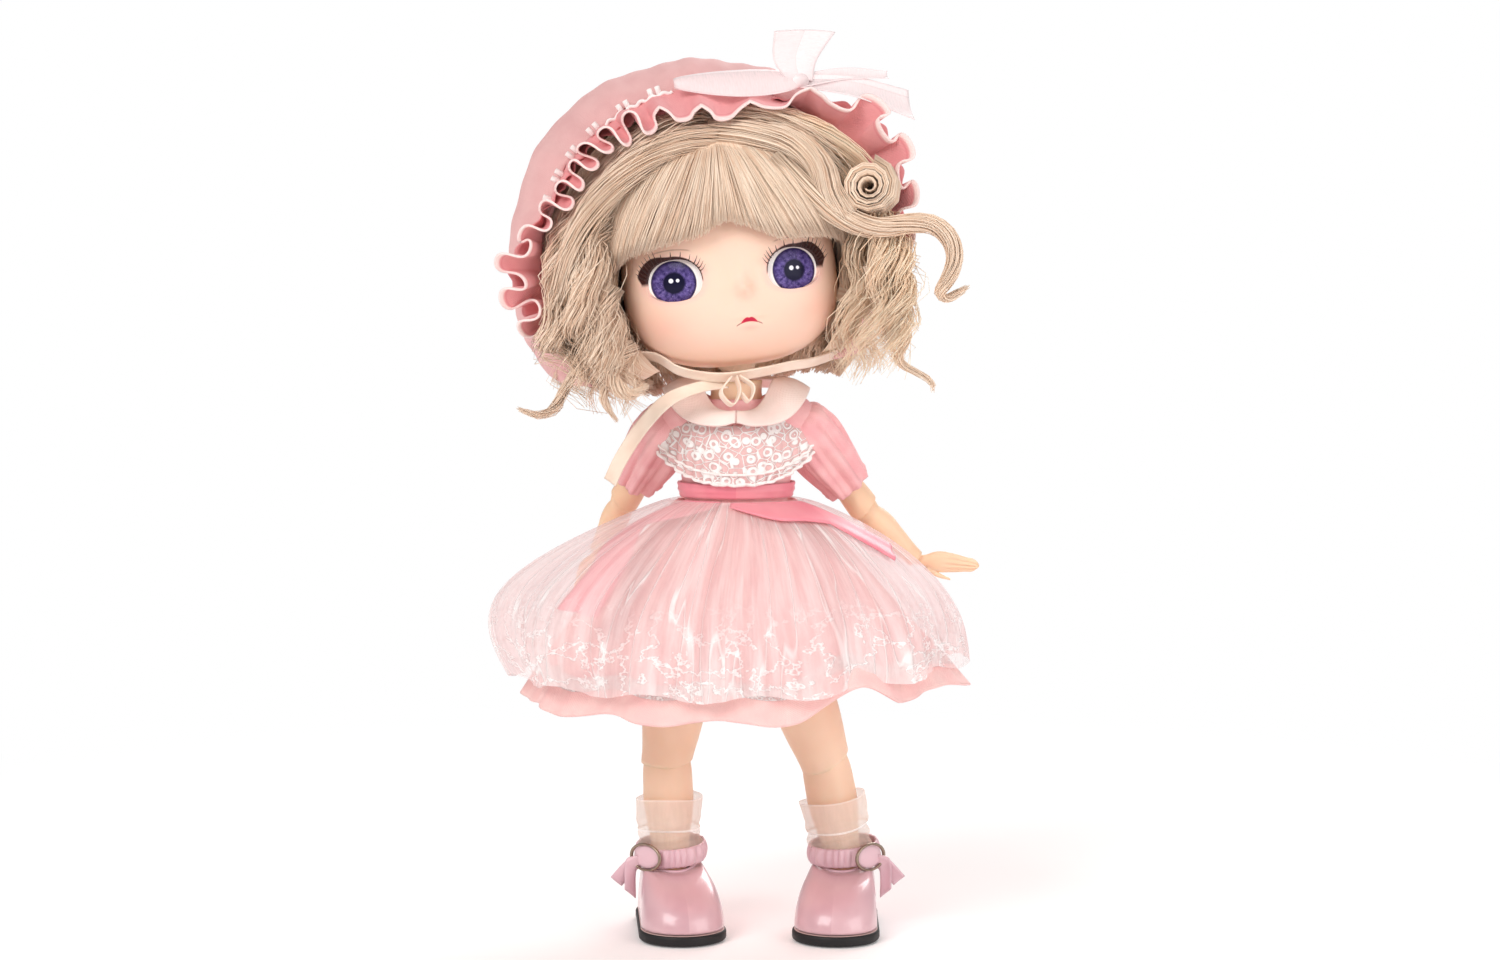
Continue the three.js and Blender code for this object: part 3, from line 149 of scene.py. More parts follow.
class Paint:
    def __init__(self, name, **constants):
        self.material = bpy.data.materials.new(name)
        self.material.use_nodes = True
        self.tree = self.material.node_tree
        self.tree.nodes.clear()
        self.shader = self.tree.nodes.new("ShaderNodeBsdfPrincipled")
        self.output = self.tree.nodes.new("ShaderNodeOutputMaterial")
        self.tree.links.new(self.shader.outputs[0], self.output.inputs[0])
        for key, value in constants.items():
            self.put(key.replace("_", " "), value)

    def plug(self, socket, value):
        if isinstance(value, Value):
            self.tree.links.new(value.socket, socket)
        else:
            socket.default_value = value

    def put(self, key, value):
        self.plug(self.shader.inputs[key], value)

    def node(self, kind, settings=None, inputs=None, out=0):
        item = self.tree.nodes.new(kind)
        for key, value in (settings or {}).items():
            setattr(item, key, value)
        for key, value in (inputs or {}).items():
            self.plug(item.inputs[key], value)
        return Value(self, item.outputs[out])

    def part(self, vector, axis):
        return self.node("ShaderNodeSeparateXYZ", None, {0: vector}, axis)

    def uv(self):
        corner = self.node("ShaderNodeUVMap")
        return [self.part(corner, axis) for axis in (0, 1)]

    def spot(self):
        return self.node("ShaderNodeTexCoord", None, None, 3)

    def join(self, x, y, z=0.0):
        return self.node("ShaderNodeCombineXYZ", None, {0: x, 1: y, 2: z})

    def noise(self, vector, scale, detail=2.0, rough=0.5):
        return self.node("ShaderNodeTexNoise", None, {
            "Vector": vector, "Scale": scale, "Detail": detail, "Roughness": rough})

    def cells(self, vector, scale, feature="F1", loose=1.0):
        return self.node("ShaderNodeTexVoronoi", {"feature": feature}, {
            "Vector": vector, "Scale": scale, "Randomness": loose})

    def mix(self, share, first, second):
        return self.node("ShaderNodeMix", {"data_type": "RGBA"}, {0: share, 6: first, 7: second}, 2)

    def tint(self, share, first, second):
        self.put("Base Color", self.mix(share, rgb(*first), rgb(*second)))

    def coats(self, colour, *layers):
        for share, shade in layers:
            colour = self.mix(share, colour, rgb(*shade))
        return colour

    def step(self, value, low, high):
        return self.node("ShaderNodeMapRange", {"interpolation_type": "SMOOTHSTEP"}, {
            "Value": value, "From Min": low, "From Max": high})

    def bump(self, height, strength, distance):
        self.put("Normal", self.node("ShaderNodeBump", None, {
            "Height": height, "Strength": strength, "Distance": distance}))


print("shader tools ready")

# %% [markdown]
# The studio is a pale floor, a white surround that only the camera sees, also through the sheer
# cloth, and three large soft lamps: the main one high on the viewer's left, a weaker one on the
# right, and one behind that lights the edges of the hair. Large lamps give soft shadows, as in
# the photograph. Away from the doll the floor fades to plain white for the camera alone.

# %% Studio
LAMP_AIM = Vector((0, 0, 0.1))
FLOOR_SIZE, FLOOR_HEIGHT = 6, -0.0002


def lamp(name, place, size, power, tint=(1, 1, 1)):
    start = Vector(place)
    light = added(name, bpy.ops.object.light_add, type="AREA", location=start,
                  rotation=aimed(start, LAMP_AIM)).data
    light.size, light.energy, light.color = size, power, tint


lamp("main_lamp", (-0.55, -0.75, 0.75), 0.6, 6.8, (1, 0.985, 0.965))
lamp("fill_lamp", (0.75, -0.6, 0.35), 0.7, 3.5, (1, 0.98, 0.97))
lamp("edge_lamp", (0.25, 0.7, 0.6), 0.5, 4.5)

world = bpy.data.worlds.new("white_surround")
scene.world = world
world.use_nodes = True
tree = world.node_tree
tree.nodes.clear()
rays, seen, plain, white, either, surround = (tree.nodes.new(f"ShaderNode{kind}") for kind in (
    "LightPath", "Math", "Background", "Background", "MixShader", "OutputWorld"))
seen.operation = "MAXIMUM"
for light, tint, strength in ((plain, (1.0, 0.975, 0.965, 1), 0.46), (white, (1, 1, 1, 1), 1.0)):
    light.inputs[0].default_value = tint
    light.inputs[1].default_value = strength
for start, end in (
    (rays.outputs["Is Camera Ray"], seen.inputs[0]),
    (rays.outputs["Is Transmission Ray"], seen.inputs[1]),
    (seen.outputs[0], either.inputs[0]), (plain.outputs[0], either.inputs[1]),
    (white.outputs[0], either.inputs[2]), (either.outputs[0], surround.inputs[0]),
):
    tree.links.new(start, end)

floor = added("studio_floor", bpy.ops.mesh.primitive_grid_add, x_subdivisions=2, y_subdivisions=2,
              size=FLOOR_SIZE, location=(0, 0, FLOOR_HEIGHT))
floor_paint = Paint("studio_floor", Roughness=0.9, Emission_Color=(1, 0.985, 0.98, 1),
                    Emission_Strength=0.12)
speck = floor_paint.noise(floor_paint.spot(), 40.0)
floor_paint.put("Base Color", floor_paint.mix(speck, (0.93, 0.905, 0.9, 1), (0.95, 0.925, 0.92, 1)))
away = floor_paint.node("ShaderNodeVectorMath", {"operation": "LENGTH"}, {0: floor_paint.spot()}, 1)
far = floor_paint.step(away, 0.1, 0.3) * floor_paint.node("ShaderNodeLightPath")
tree = floor_paint.tree
glowing, faded = (tree.nodes.new(f"ShaderNode{kind}") for kind in ("Emission", "MixShader"))
for start, end in (
    (far.socket, faded.inputs[0]), (floor_paint.shader.outputs[0], faded.inputs[1]),
    (glowing.outputs[0], faded.inputs[2]), (faded.outputs[0], floor_paint.output.inputs[0]),
):
    tree.links.new(start, end)
floor.data.materials.append(floor_paint.material)
print("studio lit")

# %% [markdown]
# Most cloth and skin on a doll is one sheet rolled or draped into shape. So the main modelling
# step is a grid primitive whose points are laid on a surface by their place u across and v down,
# like paper on a former. A rolled sheet is welded along its seam and where it closes at a pole.
# Its UV map is kept in millimetres, so that weave and lace keep their real size.

# %% Modelling tools
WELD_REACH = 2e-6


def pick(piece):
    bpy.ops.object.select_all(action="DESELECT")
    piece.select_set(True)
    bpy.context.view_layer.objects.active = piece


@contextmanager
def editing(piece, action="SELECT"):
    pick(piece)
    bpy.ops.object.mode_set(mode="EDIT")
    if action:
        bpy.ops.mesh.select_all(action=action)
    yield
    bpy.ops.object.mode_set(mode="OBJECT")


def weld(piece, outward=True):
    with editing(piece):
        bpy.ops.mesh.remove_doubles(threshold=WELD_REACH)
        if outward:
            bpy.ops.mesh.normals_make_consistent(inside=False)


def numbers(items, key, wide=1, kind=float):
    flat = np.empty(len(items) * wide, kind)
    items.foreach_get(key, flat)
    return flat.reshape(-1, wide) if wide > 1 else flat


def move_points(piece, points):
    piece.data.vertices.foreach_set("co", points.ravel())
    piece.data.update()


def map_corners(piece, corners):
    piece.data.uv_layers[0].data.foreach_set("uv", corners.ravel())


def laid(name, across, down, surface, rolled=False, cloth=(1.0, 1.0), outward=True):
    piece = added(name, bpy.ops.mesh.primitive_grid_add, x_subdivisions=across,
                  y_subdivisions=down, size=1, calc_uvs=True)
    flat = numbers(piece.data.vertices, "co", 3)
    move_points(piece, surface(flat[:, 0] + 0.5, flat[:, 1] + 0.5))
    map_corners(piece, numbers(piece.data.uv_layers[0].data, "uv", 2) * np.array(cloth))
    if rolled:
        weld(piece, outward)
    return piece


def modify(piece, kind, **settings):
    pick(piece)
    step = piece.modifiers.new("step", kind)
    for key, value in settings.items():
        setattr(step, key, value)
    bpy.ops.object.modifier_apply(modifier=step.name)
    return piece


def thicken(piece, thickness, offset=0.0):
    return modify(piece, "SOLIDIFY", thickness=thickness * MM, offset=offset)


def joined(name, pieces):
    bpy.ops.object.select_all(action="DESELECT")
    for piece in pieces:
        piece.select_set(True)
    bpy.context.view_layer.objects.active = pieces[0]
    bpy.ops.object.join()
    pieces[0].name = name
    return pieces[0]


def dress(piece, body, paint, slot, *nodes):
    pick(piece)
    bpy.ops.object.shade_smooth()
    piece.data.materials.clear()
    piece.data.materials.append(paint.material)
    if body:
        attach(piece, body)
    if nodes:
        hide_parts(*nodes)
    print(piece.name, len(piece.data.polygons), "faces")
    return piece


def sharpen(piece, degrees):
    pick(piece)
    bpy.ops.object.shade_smooth_by_angle(angle=math.radians(degrees))


print("modelling tools ready")

# %% [markdown]
# Surfaces are sums on whole arrays of u and v. blend goes from one number to another, ease does so
# with a soft start and end, smooth reads a rounded curve through a table of stations, and bump_at
# is a soft hill. stack makes points of three arrays.

# %% Sums for surfaces
FULL_TURN = 2 * np.pi


def blend(start, end, share):
    return start + (end - start) * share


def ease(value, low, high):
    share = np.clip((value - low) / (high - low), 0, 1)
    return share * share * (3 - 2 * share)


def smooth(stations, place, column=1):
    table = np.array(stations, float)
    x, y = table[:, 0], table[:, column]
    slope = np.gradient(y, x)
    i = np.clip(np.searchsorted(x, place) - 1, 0, len(x) - 2)
    h = x[i + 1] - x[i]
    t = np.clip((place - x[i]) / h, 0, 1)
    rest = (t * (1 - t) ** 2) * h * slope[i] - (t * t * (1 - t)) * h * slope[i + 1]
    return y[i] + (y[i + 1] - y[i]) * t * t * (3 - 2 * t) + rest


def hill(value, middle, wide):
    return np.exp(-((value - middle) / wide) ** 2)


def bump_at(x, z, x0, z0, wide, tall):
    return np.exp(-(((x - x0) / wide) ** 2 + ((z - z0) / tall) ** 2))


def stack(x, y, z):
    return np.stack(np.broadcast_arrays(x, y, z), axis=-1).astype(float)


def unit(rows):
    return rows / np.linalg.norm(rows, axis=-1, keepdims=True)


print("sums ready, full turn", round(FULL_TURN, 4))

# %% [markdown]
# Each body of the doll has its own frame, as its solid has in the CAD step: a joint's place and
# the turns of the pose. A Place turns millimetres of that frame into metres of the doll.

# %% The pose
POSE = {
    "left": dict(side=1, swing=24, lean=34, elbow=8, wrist=42, shin=10.5, toe=8),
    "right": dict(side=-1, swing=40, lean=25, elbow=-4, wrist=0, shin=-2.1, toe=11),
}
HEAD_TURN, HEAD_TILT = 5, -6.3
NECK_HEIGHT, ANKLE_HEIGHT = 111.2, 13.5


class Place:
    def __init__(self, joint, turns=(), offset=(0, 0, 0)):
        self.turn = np.eye(3)
        for axis, degrees in turns:
            self.turn = self.turn @ np.array(Matrix.Rotation(math.radians(degrees), 3, axis))
        self.origin = np.array(joints[joint]["pos_m"]) + self.turn @ np.array(offset, float) * MM

    def __call__(self, points):
        return self.origin + MM * np.asarray(points, float) @ self.turn.T


figure = Place("head_turn", offset=(0, 0, -NECK_HEIGHT))
head = Place("head_tilt", (("Z", HEAD_TURN), ("Y", HEAD_TILT)), (0, -3, 15))
print("head centre", head.origin.round(4))

# %% [markdown]
# The doll's skin is cast vinyl: one warm colour with a faint cloudiness, a dull shine and a little
# light that goes in and comes out again. Torso, arms and legs are turned shapes, so each is a
# rolled sheet whose radius follows a few stations, closed at both ends. The torso is oval, so its
# table has a half width and a half depth.

# %% Skin and torso
LIMB_SIDES, LIMB_ROWS = 48, 44
TORSO_SIDES, TORSO_ROWS = 64, 70
TORSO = [
    [53, 3, 5], [55.5, 7, 8], [59, 12.6, 10], [64, 13.2, 10.6], [71, 12.2, 9.8], [80, 10.2, 8.2],
    [88, 9.2, 7.6], [95, 10.2, 8.4], [100, 10.4, 8.6], [104, 9.8, 7.8], [107, 8, 6.6],
    [109.5, 6, 5.6], [111, 5.4, 5.4], [114.4, 5.4, 5.4],
]


def vinyl(name, light, deep):
    paint = Paint(name, Specular_IOR_Level=0.4, Subsurface_Weight=0.12, Subsurface_Scale=0.002)
    cloud = paint.noise(paint.spot(), 90.0)
    pores = paint.noise(paint.spot(), 3500.0)
    paint.tint(paint.step(cloud, 0.3, 0.75), light, deep)
    paint.put("Roughness", 0.42 + 0.14 * cloud)
    paint.bump(pores, 0.08, 0.0001)
    return paint


skin = vinyl("skin_vinyl", (249, 213, 180), (243, 202, 168))
leg_skin = vinyl("leg_vinyl", (245, 214, 187), (238, 202, 173))
joint_skin = vinyl("joint_vinyl", (236, 204, 178), (226, 190, 162))


def capped(surface, rows):
    edge = 1 / rows

    def closed(u, v):
        points = surface(u, np.clip((v - edge) / (1 - 2 * edge), 0, 1))
        for end, ring in ((0, edge), (1, 1 - edge)):
            points[np.abs(v - end) < edge / 4] = points[np.abs(v - ring) < edge / 4].mean(axis=0)
        return points
    return closed


def limb(name, place, stations, rim=None):
    def surface(u, v):
        turn = FULL_TURN * u
        height = blend(stations[0][0], stations[-1][0], v)
        radius = smooth(stations, height)
        x, y = radius * np.cos(turn), radius * np.sin(turn)
        if rim:
            height = np.maximum(height, rim(x, y))
        return place(stack(x, y, height))
    return laid(name, LIMB_SIDES, LIMB_ROWS, capped(surface, LIMB_ROWS), True)


def on_torso(turn, height, grow=0.0):
    x = (smooth(TORSO, height, 1) + grow) * np.sin(turn)
    return stack(x, -(smooth(TORSO, height, 2) + grow) * np.cos(turn), height)


trunk = laid("torso_skin", TORSO_SIDES, TORSO_ROWS, capped(
    lambda u, v: figure(on_torso(FULL_TURN * u, blend(TORSO[0][0], TORSO[-1][0], v))),
    TORSO_ROWS), True)
dress(trunk, "torso", skin, "skin_vinyl", "torso")

# %% [markdown]
# An arm hangs from its shoulder, swung and leaned as in the photograph. The upper arm ends in a
# rim cut at a slope, and the round top of the forearm sits in it, so a fine seam shows at the
# elbow. The rim is made by lifting every point that lies below the sloping plane.

# %% Arms
RIM_SLOPE = 0.249
UPPER_ARM = [(-24, 3.3), (-20, 3.3), (-15.5, 3.05), (-7, 3.25), (-3, 3.9), (0, 3.9), (2.4, 2.6),
             (3.2, 0.3)]
FOREARM = [(-16.1, 2.05), (-14.5, 2.1), (-9, 2.65), (-5.5, 3), (-3.2, 2.85), (-1.6, 2.5), (0, 2.8),
           (1.4, 2.42), (2.4, 1.44), (2.78, 0.2)]
arms = {}
for name, pose in POSE.items():
    side, swing = pose["side"], ("X", pose["swing"])
    bends = np.cumsum([pose["lean"], pose["elbow"], pose["wrist"]])
    upper, lower, palm = (
        Place(f"{name}_{joint}", (swing, ("Y", -side * bend)))
        for joint, bend in zip(("shoulder_raise", "elbow_bend", "wrist_turn"), bends.tolist()))
    arms[name] = (side, upper, palm)
    arm = limb(f"{name}_upper_arm_skin", upper, UPPER_ARM,
               lambda x, y: -22.3 + RIM_SLOPE * side * x)
    dress(arm, f"{name}_upper_arm", skin, "skin_vinyl", f"{name}_upper_arm")
    fore = limb(f"{name}_forearm_skin", lower, FOREARM)
    dress(fore, f"{name}_forearm", skin, "skin_vinyl", f"{name}_forearm")

# %% [markdown]
# The hand is slim: four fingers held together and a thumb that stands off. A rolled sheet gives
# the palm and the fingers, with grooves pressed in between them, and a tube along a curve gives
# the thumb. The tube's cross-section is carried along the curve, so that it doesn't twist.

# %% Hands
PALM_SIDES, PALM_ROWS, THUMB_STEPS = 56, 40, 16
PALM = [(-13.6, 0.25, 0.2), (-13, 1.0, 0.5), (-10.4, 1.8, 0.72), (-7.2, 2.35, 0.95),
        (-5.4, 2.5, 1.2), (-3.6, 2.1, 1.25), (-2, 1.25, 1.1), (-0.6, 1.1, 1.05), (0.8, 0.9, 0.9)]


def curve(points, steps):
    points = np.asarray(points, float)
    ends = np.vstack([2 * points[0] - points[1], points, 2 * points[-1] - points[-2]])
    place = np.linspace(0, len(points) - 1, steps)
    i = np.minimum(place.astype(int), len(points) - 2)
    t = (place - i)[:, None]
    a, b, c, d = ends[i], ends[i + 1], ends[i + 2], ends[i + 3]
    bend = (2 * a - 5 * b + 4 * c - d) * t ** 2 + (3 * b - a - 3 * c + d) * t ** 3
    return 0.5 * (2 * b + (c - a) * t + bend)


def side_frames(path):
    tangent = unit(np.gradient(path, axis=0))
    normal = np.empty_like(path)
    last = np.cross(tangent[0], (0.31, 0.22, 0.93))
    for i, ahead in enumerate(tangent):
        last = unit(last - ahead * (last @ ahead))
        normal[i] = last
    return normal, np.cross(tangent, normal)


def tube(name, place, path, radius, sides=10):
    path = np.asarray(path, float)
    normal, other = side_frames(path)
    last = len(path) - 1
    reach = np.broadcast_to(radius, len(path))[:, None]

    def surface(u, v):
        i = np.rint(v * last).astype(int)
        turn = FULL_TURN * u[:, None]
        return place(path[i] + reach[i] * (np.cos(turn) * normal[i] + np.sin(turn) * other[i]))
    return laid(name, sides, last, surface, True)


for name, (side, upper, palm) in arms.items():
    def hand_surface(u, v):
        turn = FULL_TURN * u
        height = blend(PALM[0][0], PALM[-1][0], v)
        across = np.cos(turn)
        fingers = (1 - ease(height, -7.5, -5)) * (np.abs(across) < 0.9)
        groove = 0.3 * fingers * (0.5 + 0.5 * np.cos(across * 4 * np.pi)) ** 4
        thick = np.sin(turn) * np.maximum(smooth(PALM, height, 2) - groove, 0.1)
        cupped = thick - 0.25 * ease(-height, 6, 12)
        return palm(stack(across * smooth(PALM, height, 1), cupped, height))
    thumb = tube(f"{name}_thumb", palm, curve([
        (-side * 1.4, 0, -2.6), (-side * 2.9, -0.5, -5), (-side * 3.6, -0.9, -7.9)], THUMB_STEPS),
        np.linspace(0.95, 0.2, THUMB_STEPS))
    flat_hand = laid(f"{name}_palm", PALM_SIDES, PALM_ROWS, capped(hand_surface, PALM_ROWS), True)
    hand = joined(f"{name}_hand_skin", [flat_hand, thumb])
    dress(hand, f"{name}_hand", skin, "skin_vinyl", f"{name}_hand")

# %% [markdown]
# Legs are turned the same way. The knee is a ball under the thigh's slanted rim, which draws the
# fine dark line that the photograph shows.

# %% Legs
THIGH = [(-25.6, 5.25), (-23, 5.4), (-18, 6.1), (-13, 6.6), (-9, 6.6), (-2, 6.1), (1.6, 5.6),
         (3.6, 4.2), (4.6, 0.4)]
SHIN = [(-21.2, 3.9), (-17, 4.1), (-12, 4.9), (-8.5, 5.25), (-5, 5.2), (-2.4, 5.12), (-1, 4.95),
        (0.4, 4.6), (2.2, 3.9), (3.6, 2.65), (4.3, 1.2), (4.48, 0.2)]
legs = {}
for name, pose in POSE.items():
    side = pose["side"]
    hip, knee = (joints[f"{name}_{joint}"]["pos_m"] for joint in ("hip_spread", "knee_bend"))
    lean = math.degrees(math.atan2(side * (knee[0] - hip[0]), hip[2] - knee[2]))
    thigh_place = Place(f"{name}_hip_spread", (("Y", -side * lean),))
    shin_place = Place(f"{name}_knee_bend", (("Y", -side * pose["shin"]),))
    foot_place = Place(f"{name}_ankle_tilt", (("Z", -side * pose["toe"]),), (0, 0, -ANKLE_HEIGHT))
    legs[name] = (side, shin_place, foot_place)
    thigh = limb(f"{name}_thigh_skin", thigh_place, THIGH,
                 lambda x, y: -24.3 + RIM_SLOPE * y + 0.2 * x)
    dress(thigh, f"{name}_thigh", leg_skin, "skin_vinyl", f"{name}_thigh")
    shin = limb(f"{name}_shin_skin", shin_place, SHIN)
    dress(shin, f"{name}_shin", leg_skin, "skin_vinyl", f"{name}_shin")

# %% [markdown]
# Socks are sheer knit that lets the leg show through. The sheet is rolled loosely round the skin,
# with wrinkles at the ankle and a doubled cuff, and its Alpha is mostly open.

# %% Socks
SOCK = [(-21, 6.3), (-18, 6.65), (-14.5, 6.35), (-11, 6.6), (-7, 6.8), (-4, 6.9)]
SOCK_LOW, SOCK_TOP = -20.5, -8
SOCK_CLOTH = (38.0, 12.5)


def woven(u, v, across, along):
    return (u * across).sine() * (v * along).sine()


sock_knit = Paint("sock_knit", Specular_IOR_Level=0.2)
around, up = sock_knit.uv()
stitch = woven(around, up, 26.0, 24.0)
ladder = sock_knit.noise(sock_knit.join(around * 0.7, up * 0.15), 1.0, 3.0)
cuff = sock_knit.step(up, 5.7, 6.1)
seam = sock_knit.step(abs(up - 5.9), 0.3, 0.1).most(sock_knit.step(up, 12.0, 12.4) * 0.4)
sock_knit.tint(seam, (250, 232, 220), (255, 250, 246))
knitted = 0.26 + 0.06 * stitch + 0.2 * ladder + 0.14 * cuff + 0.4 * seam
sock_knit.put("Alpha", knitted.least(0.95))
sock_knit.put("Roughness", 0.7 + 0.1 * stitch)
sock_knit.bump(stitch * 0.3 + ladder, 0.3, 0.0002)
for name, (side, shin_place, foot_place) in legs.items():
    def sock_surface(u, v):
        turn = FULL_TURN * u
        height = blend(SOCK_LOW, SOCK_TOP, v)
        wrinkle = 0.22 * np.sin(2.3 * height + 1.6 * np.sin(2 * turn + side))
        wrinkle = wrinkle * (1 - ease(height, -16, -10))
        sag = 0.2 * np.sin(3 * turn + 0.5 * height + side)
        radius = smooth(SOCK, height) + wrinkle + sag + 0.25 * ease(v, 0.45, 0.49)
        height = height + 0.35 * np.sin(2 * turn + side) * v
        return shin_place(stack(radius * np.cos(turn), radius * np.sin(turn), height))
    sock = laid(f"{name}_sock_knit", 72, 80, sock_surface, True, SOCK_CLOTH)
    dress(sock, f"{name}_shin", sock_knit, "sock_knit", f"{name}_sock")

# %% [markdown]
# The shoes are satin over a black rubber sole with a pale insole. Satin is a plain colour with a
# slow change of tone, a thread so fine that it only roughens the shine, and a clear coat on the
# shoe itself. The insole is the top of the rubber, so it is found by its height.

# %% Satin and rubber
INSOLE = (2.13 * MM, 2.17 * MM)


def satin(name, light, deep, sheen=0.3, rough=0.3, shine=0.0):
    paint = Paint(name, Specular_IOR_Level=0.6, Sheen_Weight=sheen, Sheen_Roughness=0.4,
                  Coat_Weight=shine, Coat_Roughness=0.16)
    u, v = paint.uv()
    cloud = paint.noise(paint.join(u, v), 0.12, 2.0)
    thread = woven(u, v, 30.0, 26.0)
    paint.tint(paint.step(cloud, 0.35, 0.65), light, deep)
    paint.put("Roughness", rough + 0.08 * cloud + 0.03 * thread)
    paint.bump(cloud * 2.0 + thread * 0.3, 0.1, 0.0002)
    return paint


shoe_satin = satin("shoe_satin", (218, 177, 183), (207, 163, 171), 0.2, 0.26, 0.7)
strap_satin = satin("strap_satin", (228, 192, 200), (213, 172, 183), 0.35, 0.34)
trim_satin = satin("trim_satin", (232, 192, 202), (222, 178, 190), 0.2, 0.4)
sole_rubber = Paint("sole_rubber", Specular_IOR_Level=0.4)
scuff = sole_rubber.noise(sole_rubber.spot(), 900.0, 4.0)
insole = sole_rubber.step(sole_rubber.part(sole_rubber.spot(), 2), *INSOLE)
rubber = sole_rubber.mix(scuff, rgb(14, 12, 14), rgb(30, 27, 29))
sole_rubber.put("Base Color", sole_rubber.mix(insole, rubber, rgb(228, 200, 194)))
sole_rubber.put("Roughness", 0.4 + 0.3 * scuff)
sole_rubber.bump(scuff, 0.15, 0.0002)
print("shoe finishes ready")

# %% [markdown]
# The sole is modelled by hand: a circle is pulled to the outline, extruded, and its edges
# bevelled. The outline is a wide half circle at the toe and a narrow one at the heel. The upper
# is a sheet that rises from the outline on a quarter ellipse to the opening, with a wall and a
# bound edge, which is a thin tube along the opening.

# %% Shoe soles and uppers
SOLE_POINTS, SOLE_HEIGHT, SOLE_BEVEL = 96, 2.2, 0.6
UPPER_LOW, UPPER_INSET, UPPER_WALL = 2.5, 0.5, 0.7


def on_outline(u, inset, steps=720):
    turn = np.linspace(0, FULL_TURN, steps)
    toe = np.cos(turn) > 0
    radius = np.where(toe, 9.4, 7.0) - inset
    x = radius * np.sin(turn) * (1 - 0.04 * np.sin(turn) ** 8)
    y = np.where(toe, -14.0, 4.5) - radius * np.cos(turn)
    travel = np.concatenate([[0], np.cumsum(np.hypot(np.diff(x), np.diff(y)))])
    share = travel / travel[-1]
    return np.interp(u % 1, share, x), np.interp(u % 1, share, y)


def throat(u):
    turn = FULL_TURN * u
    front = (1 + np.cos(turn)) / 2
    return 5.6 * np.sin(turn), blend(9.2, -6.4, front), 14 - 1.9 * front ** 2


def upper_surface(u, v):
    low_x, low_y = on_outline(u, UPPER_INSET)
    high_x, high_y, high_z = throat(u)
    inward, upward = 1 - np.cos(v * np.pi / 2), np.sin(v * np.pi / 2)
    turn = FULL_TURN * u
    pucker = 0.12 * np.sin(34 * turn) * (1 - ease(v, 0, 0.2)) * (np.cos(turn) > 0.3)
    return stack(blend(low_x, high_x, inward), blend(low_y, high_y, inward) + pucker * 0.5,
                 blend(UPPER_LOW, high_z, upward))


for name, (side, shin_place, foot_place) in legs.items():
    sole = added(f"{name}_sole", bpy.ops.mesh.primitive_circle_add, vertices=SOLE_POINTS,
                 radius=0.01, fill_type="NGON")
    x, y = on_outline(np.arange(SOLE_POINTS) / SOLE_POINTS, 0.0)
    move_points(sole, foot_place(stack(x, y, 0.0)))
    with editing(sole):
        bpy.ops.mesh.extrude_region_move(TRANSFORM_OT_translate={"value": (0, 0, SOLE_HEIGHT * MM)})
        bpy.ops.mesh.select_all(action="SELECT")
        bpy.ops.mesh.normals_make_consistent(inside=False)
    modify(sole, "BEVEL", width=SOLE_BEVEL * MM, segments=3, limit_method="ANGLE")
    dress(sole, f"{name}_foot", sole_rubber, "sole_rubber", f"{name}_shoe_sole")
    sharpen(sole, 40)

    upper = laid(f"{name}_upper", 128, 28, lambda u, v: foot_place(upper_surface(u, v)), True,
                 (70.0, 14.0))
    thicken(upper, UPPER_WALL, -1.0)
    dress(upper, f"{name}_foot", shoe_satin, "shoe_satin", f"{name}_shoe_upper")
    edge = stack(*throat(np.linspace(0, 1, 129)))
    binding = tube(f"{name}_binding", foot_place, edge, 0.4, 8)
    dress(binding, f"{name}_foot", trim_satin, "shoe_satin")

# %% [markdown]
# A foot fills the shoe, so that skin shows in its opening. It is a rolled sheet whose rings stand
# upright from toe to heel.

# %% Feet
FOOT_ROWS = 40
FOOT = [(-19, 3.2, 5), (-15, 5, 6.6), (-11, 5.2, 8.4), (-7, 4.8, 10.6), (-4, 4.4, 12.4),
        (0, 4.3, 13.3), (4.2, 4.2, 12.6), (6.6, 2.6, 8)]
FOOT_SOLE = 2.6
for name, (side, shin_place, foot_place) in legs.items():
    def foot_surface(u, v):
        turn = FULL_TURN * u
        y = blend(FOOT[0][0], FOOT[-1][0], v)
        rise = 0.5 - 0.5 * np.cos(turn)
        x = smooth(FOOT, y, 1) * np.sin(turn)
        return foot_place(stack(x, y, blend(FOOT_SOLE, smooth(FOOT, y, 2), rise)))
    foot = laid(f"{name}_foot_skin", 40, FOOT_ROWS, capped(foot_surface, FOOT_ROWS), True)
    dress(foot, f"{name}_foot", leg_skin, "skin_vinyl", f"{name}_foot")

# %% [markdown]
# A ruched satin strap goes round the ankle and ends in two cut tails. The strap is a rolled sheet
# with fine ripples. A ribbon, here and later, is a flat strip laid along a curve: it knows which
# way its width points at each step, may widen, and may be hollow across its width.

# %% Ankle straps
STRAP_RADIUS, STRAP_LOW, STRAP_HIGH = 6.9, 13.6, 3.8


def ribbon(name, place, points, sideways, width, rows=48, columns=8, thickness=0.3, curl=0.0):
    path = curve(points, rows + 1)
    across = unit(curve(np.broadcast_to(np.asarray(sideways, float), (len(points), 3)), rows + 1))
    upright = unit(np.cross(across, np.gradient(path, axis=0)))
    length = np.linalg.norm(np.diff(path, axis=0), axis=1).sum()
    wide_at = width if callable(width) else lambda t: np.full_like(t, width)

    def surface(u, v):
        i = np.rint(v * rows).astype(int)
        bow = curl * (1 - (2 * u - 1) ** 2)
        off = (u - 0.5) * wide_at(v)
        return place(path[i] + off[:, None] * across[i] + bow[:, None] * upright[i])
    widest = float(np.max(wide_at(np.linspace(0, 1, 9))))
    return thicken(laid(name, columns, rows, surface, cloth=(widest, length)), thickness)


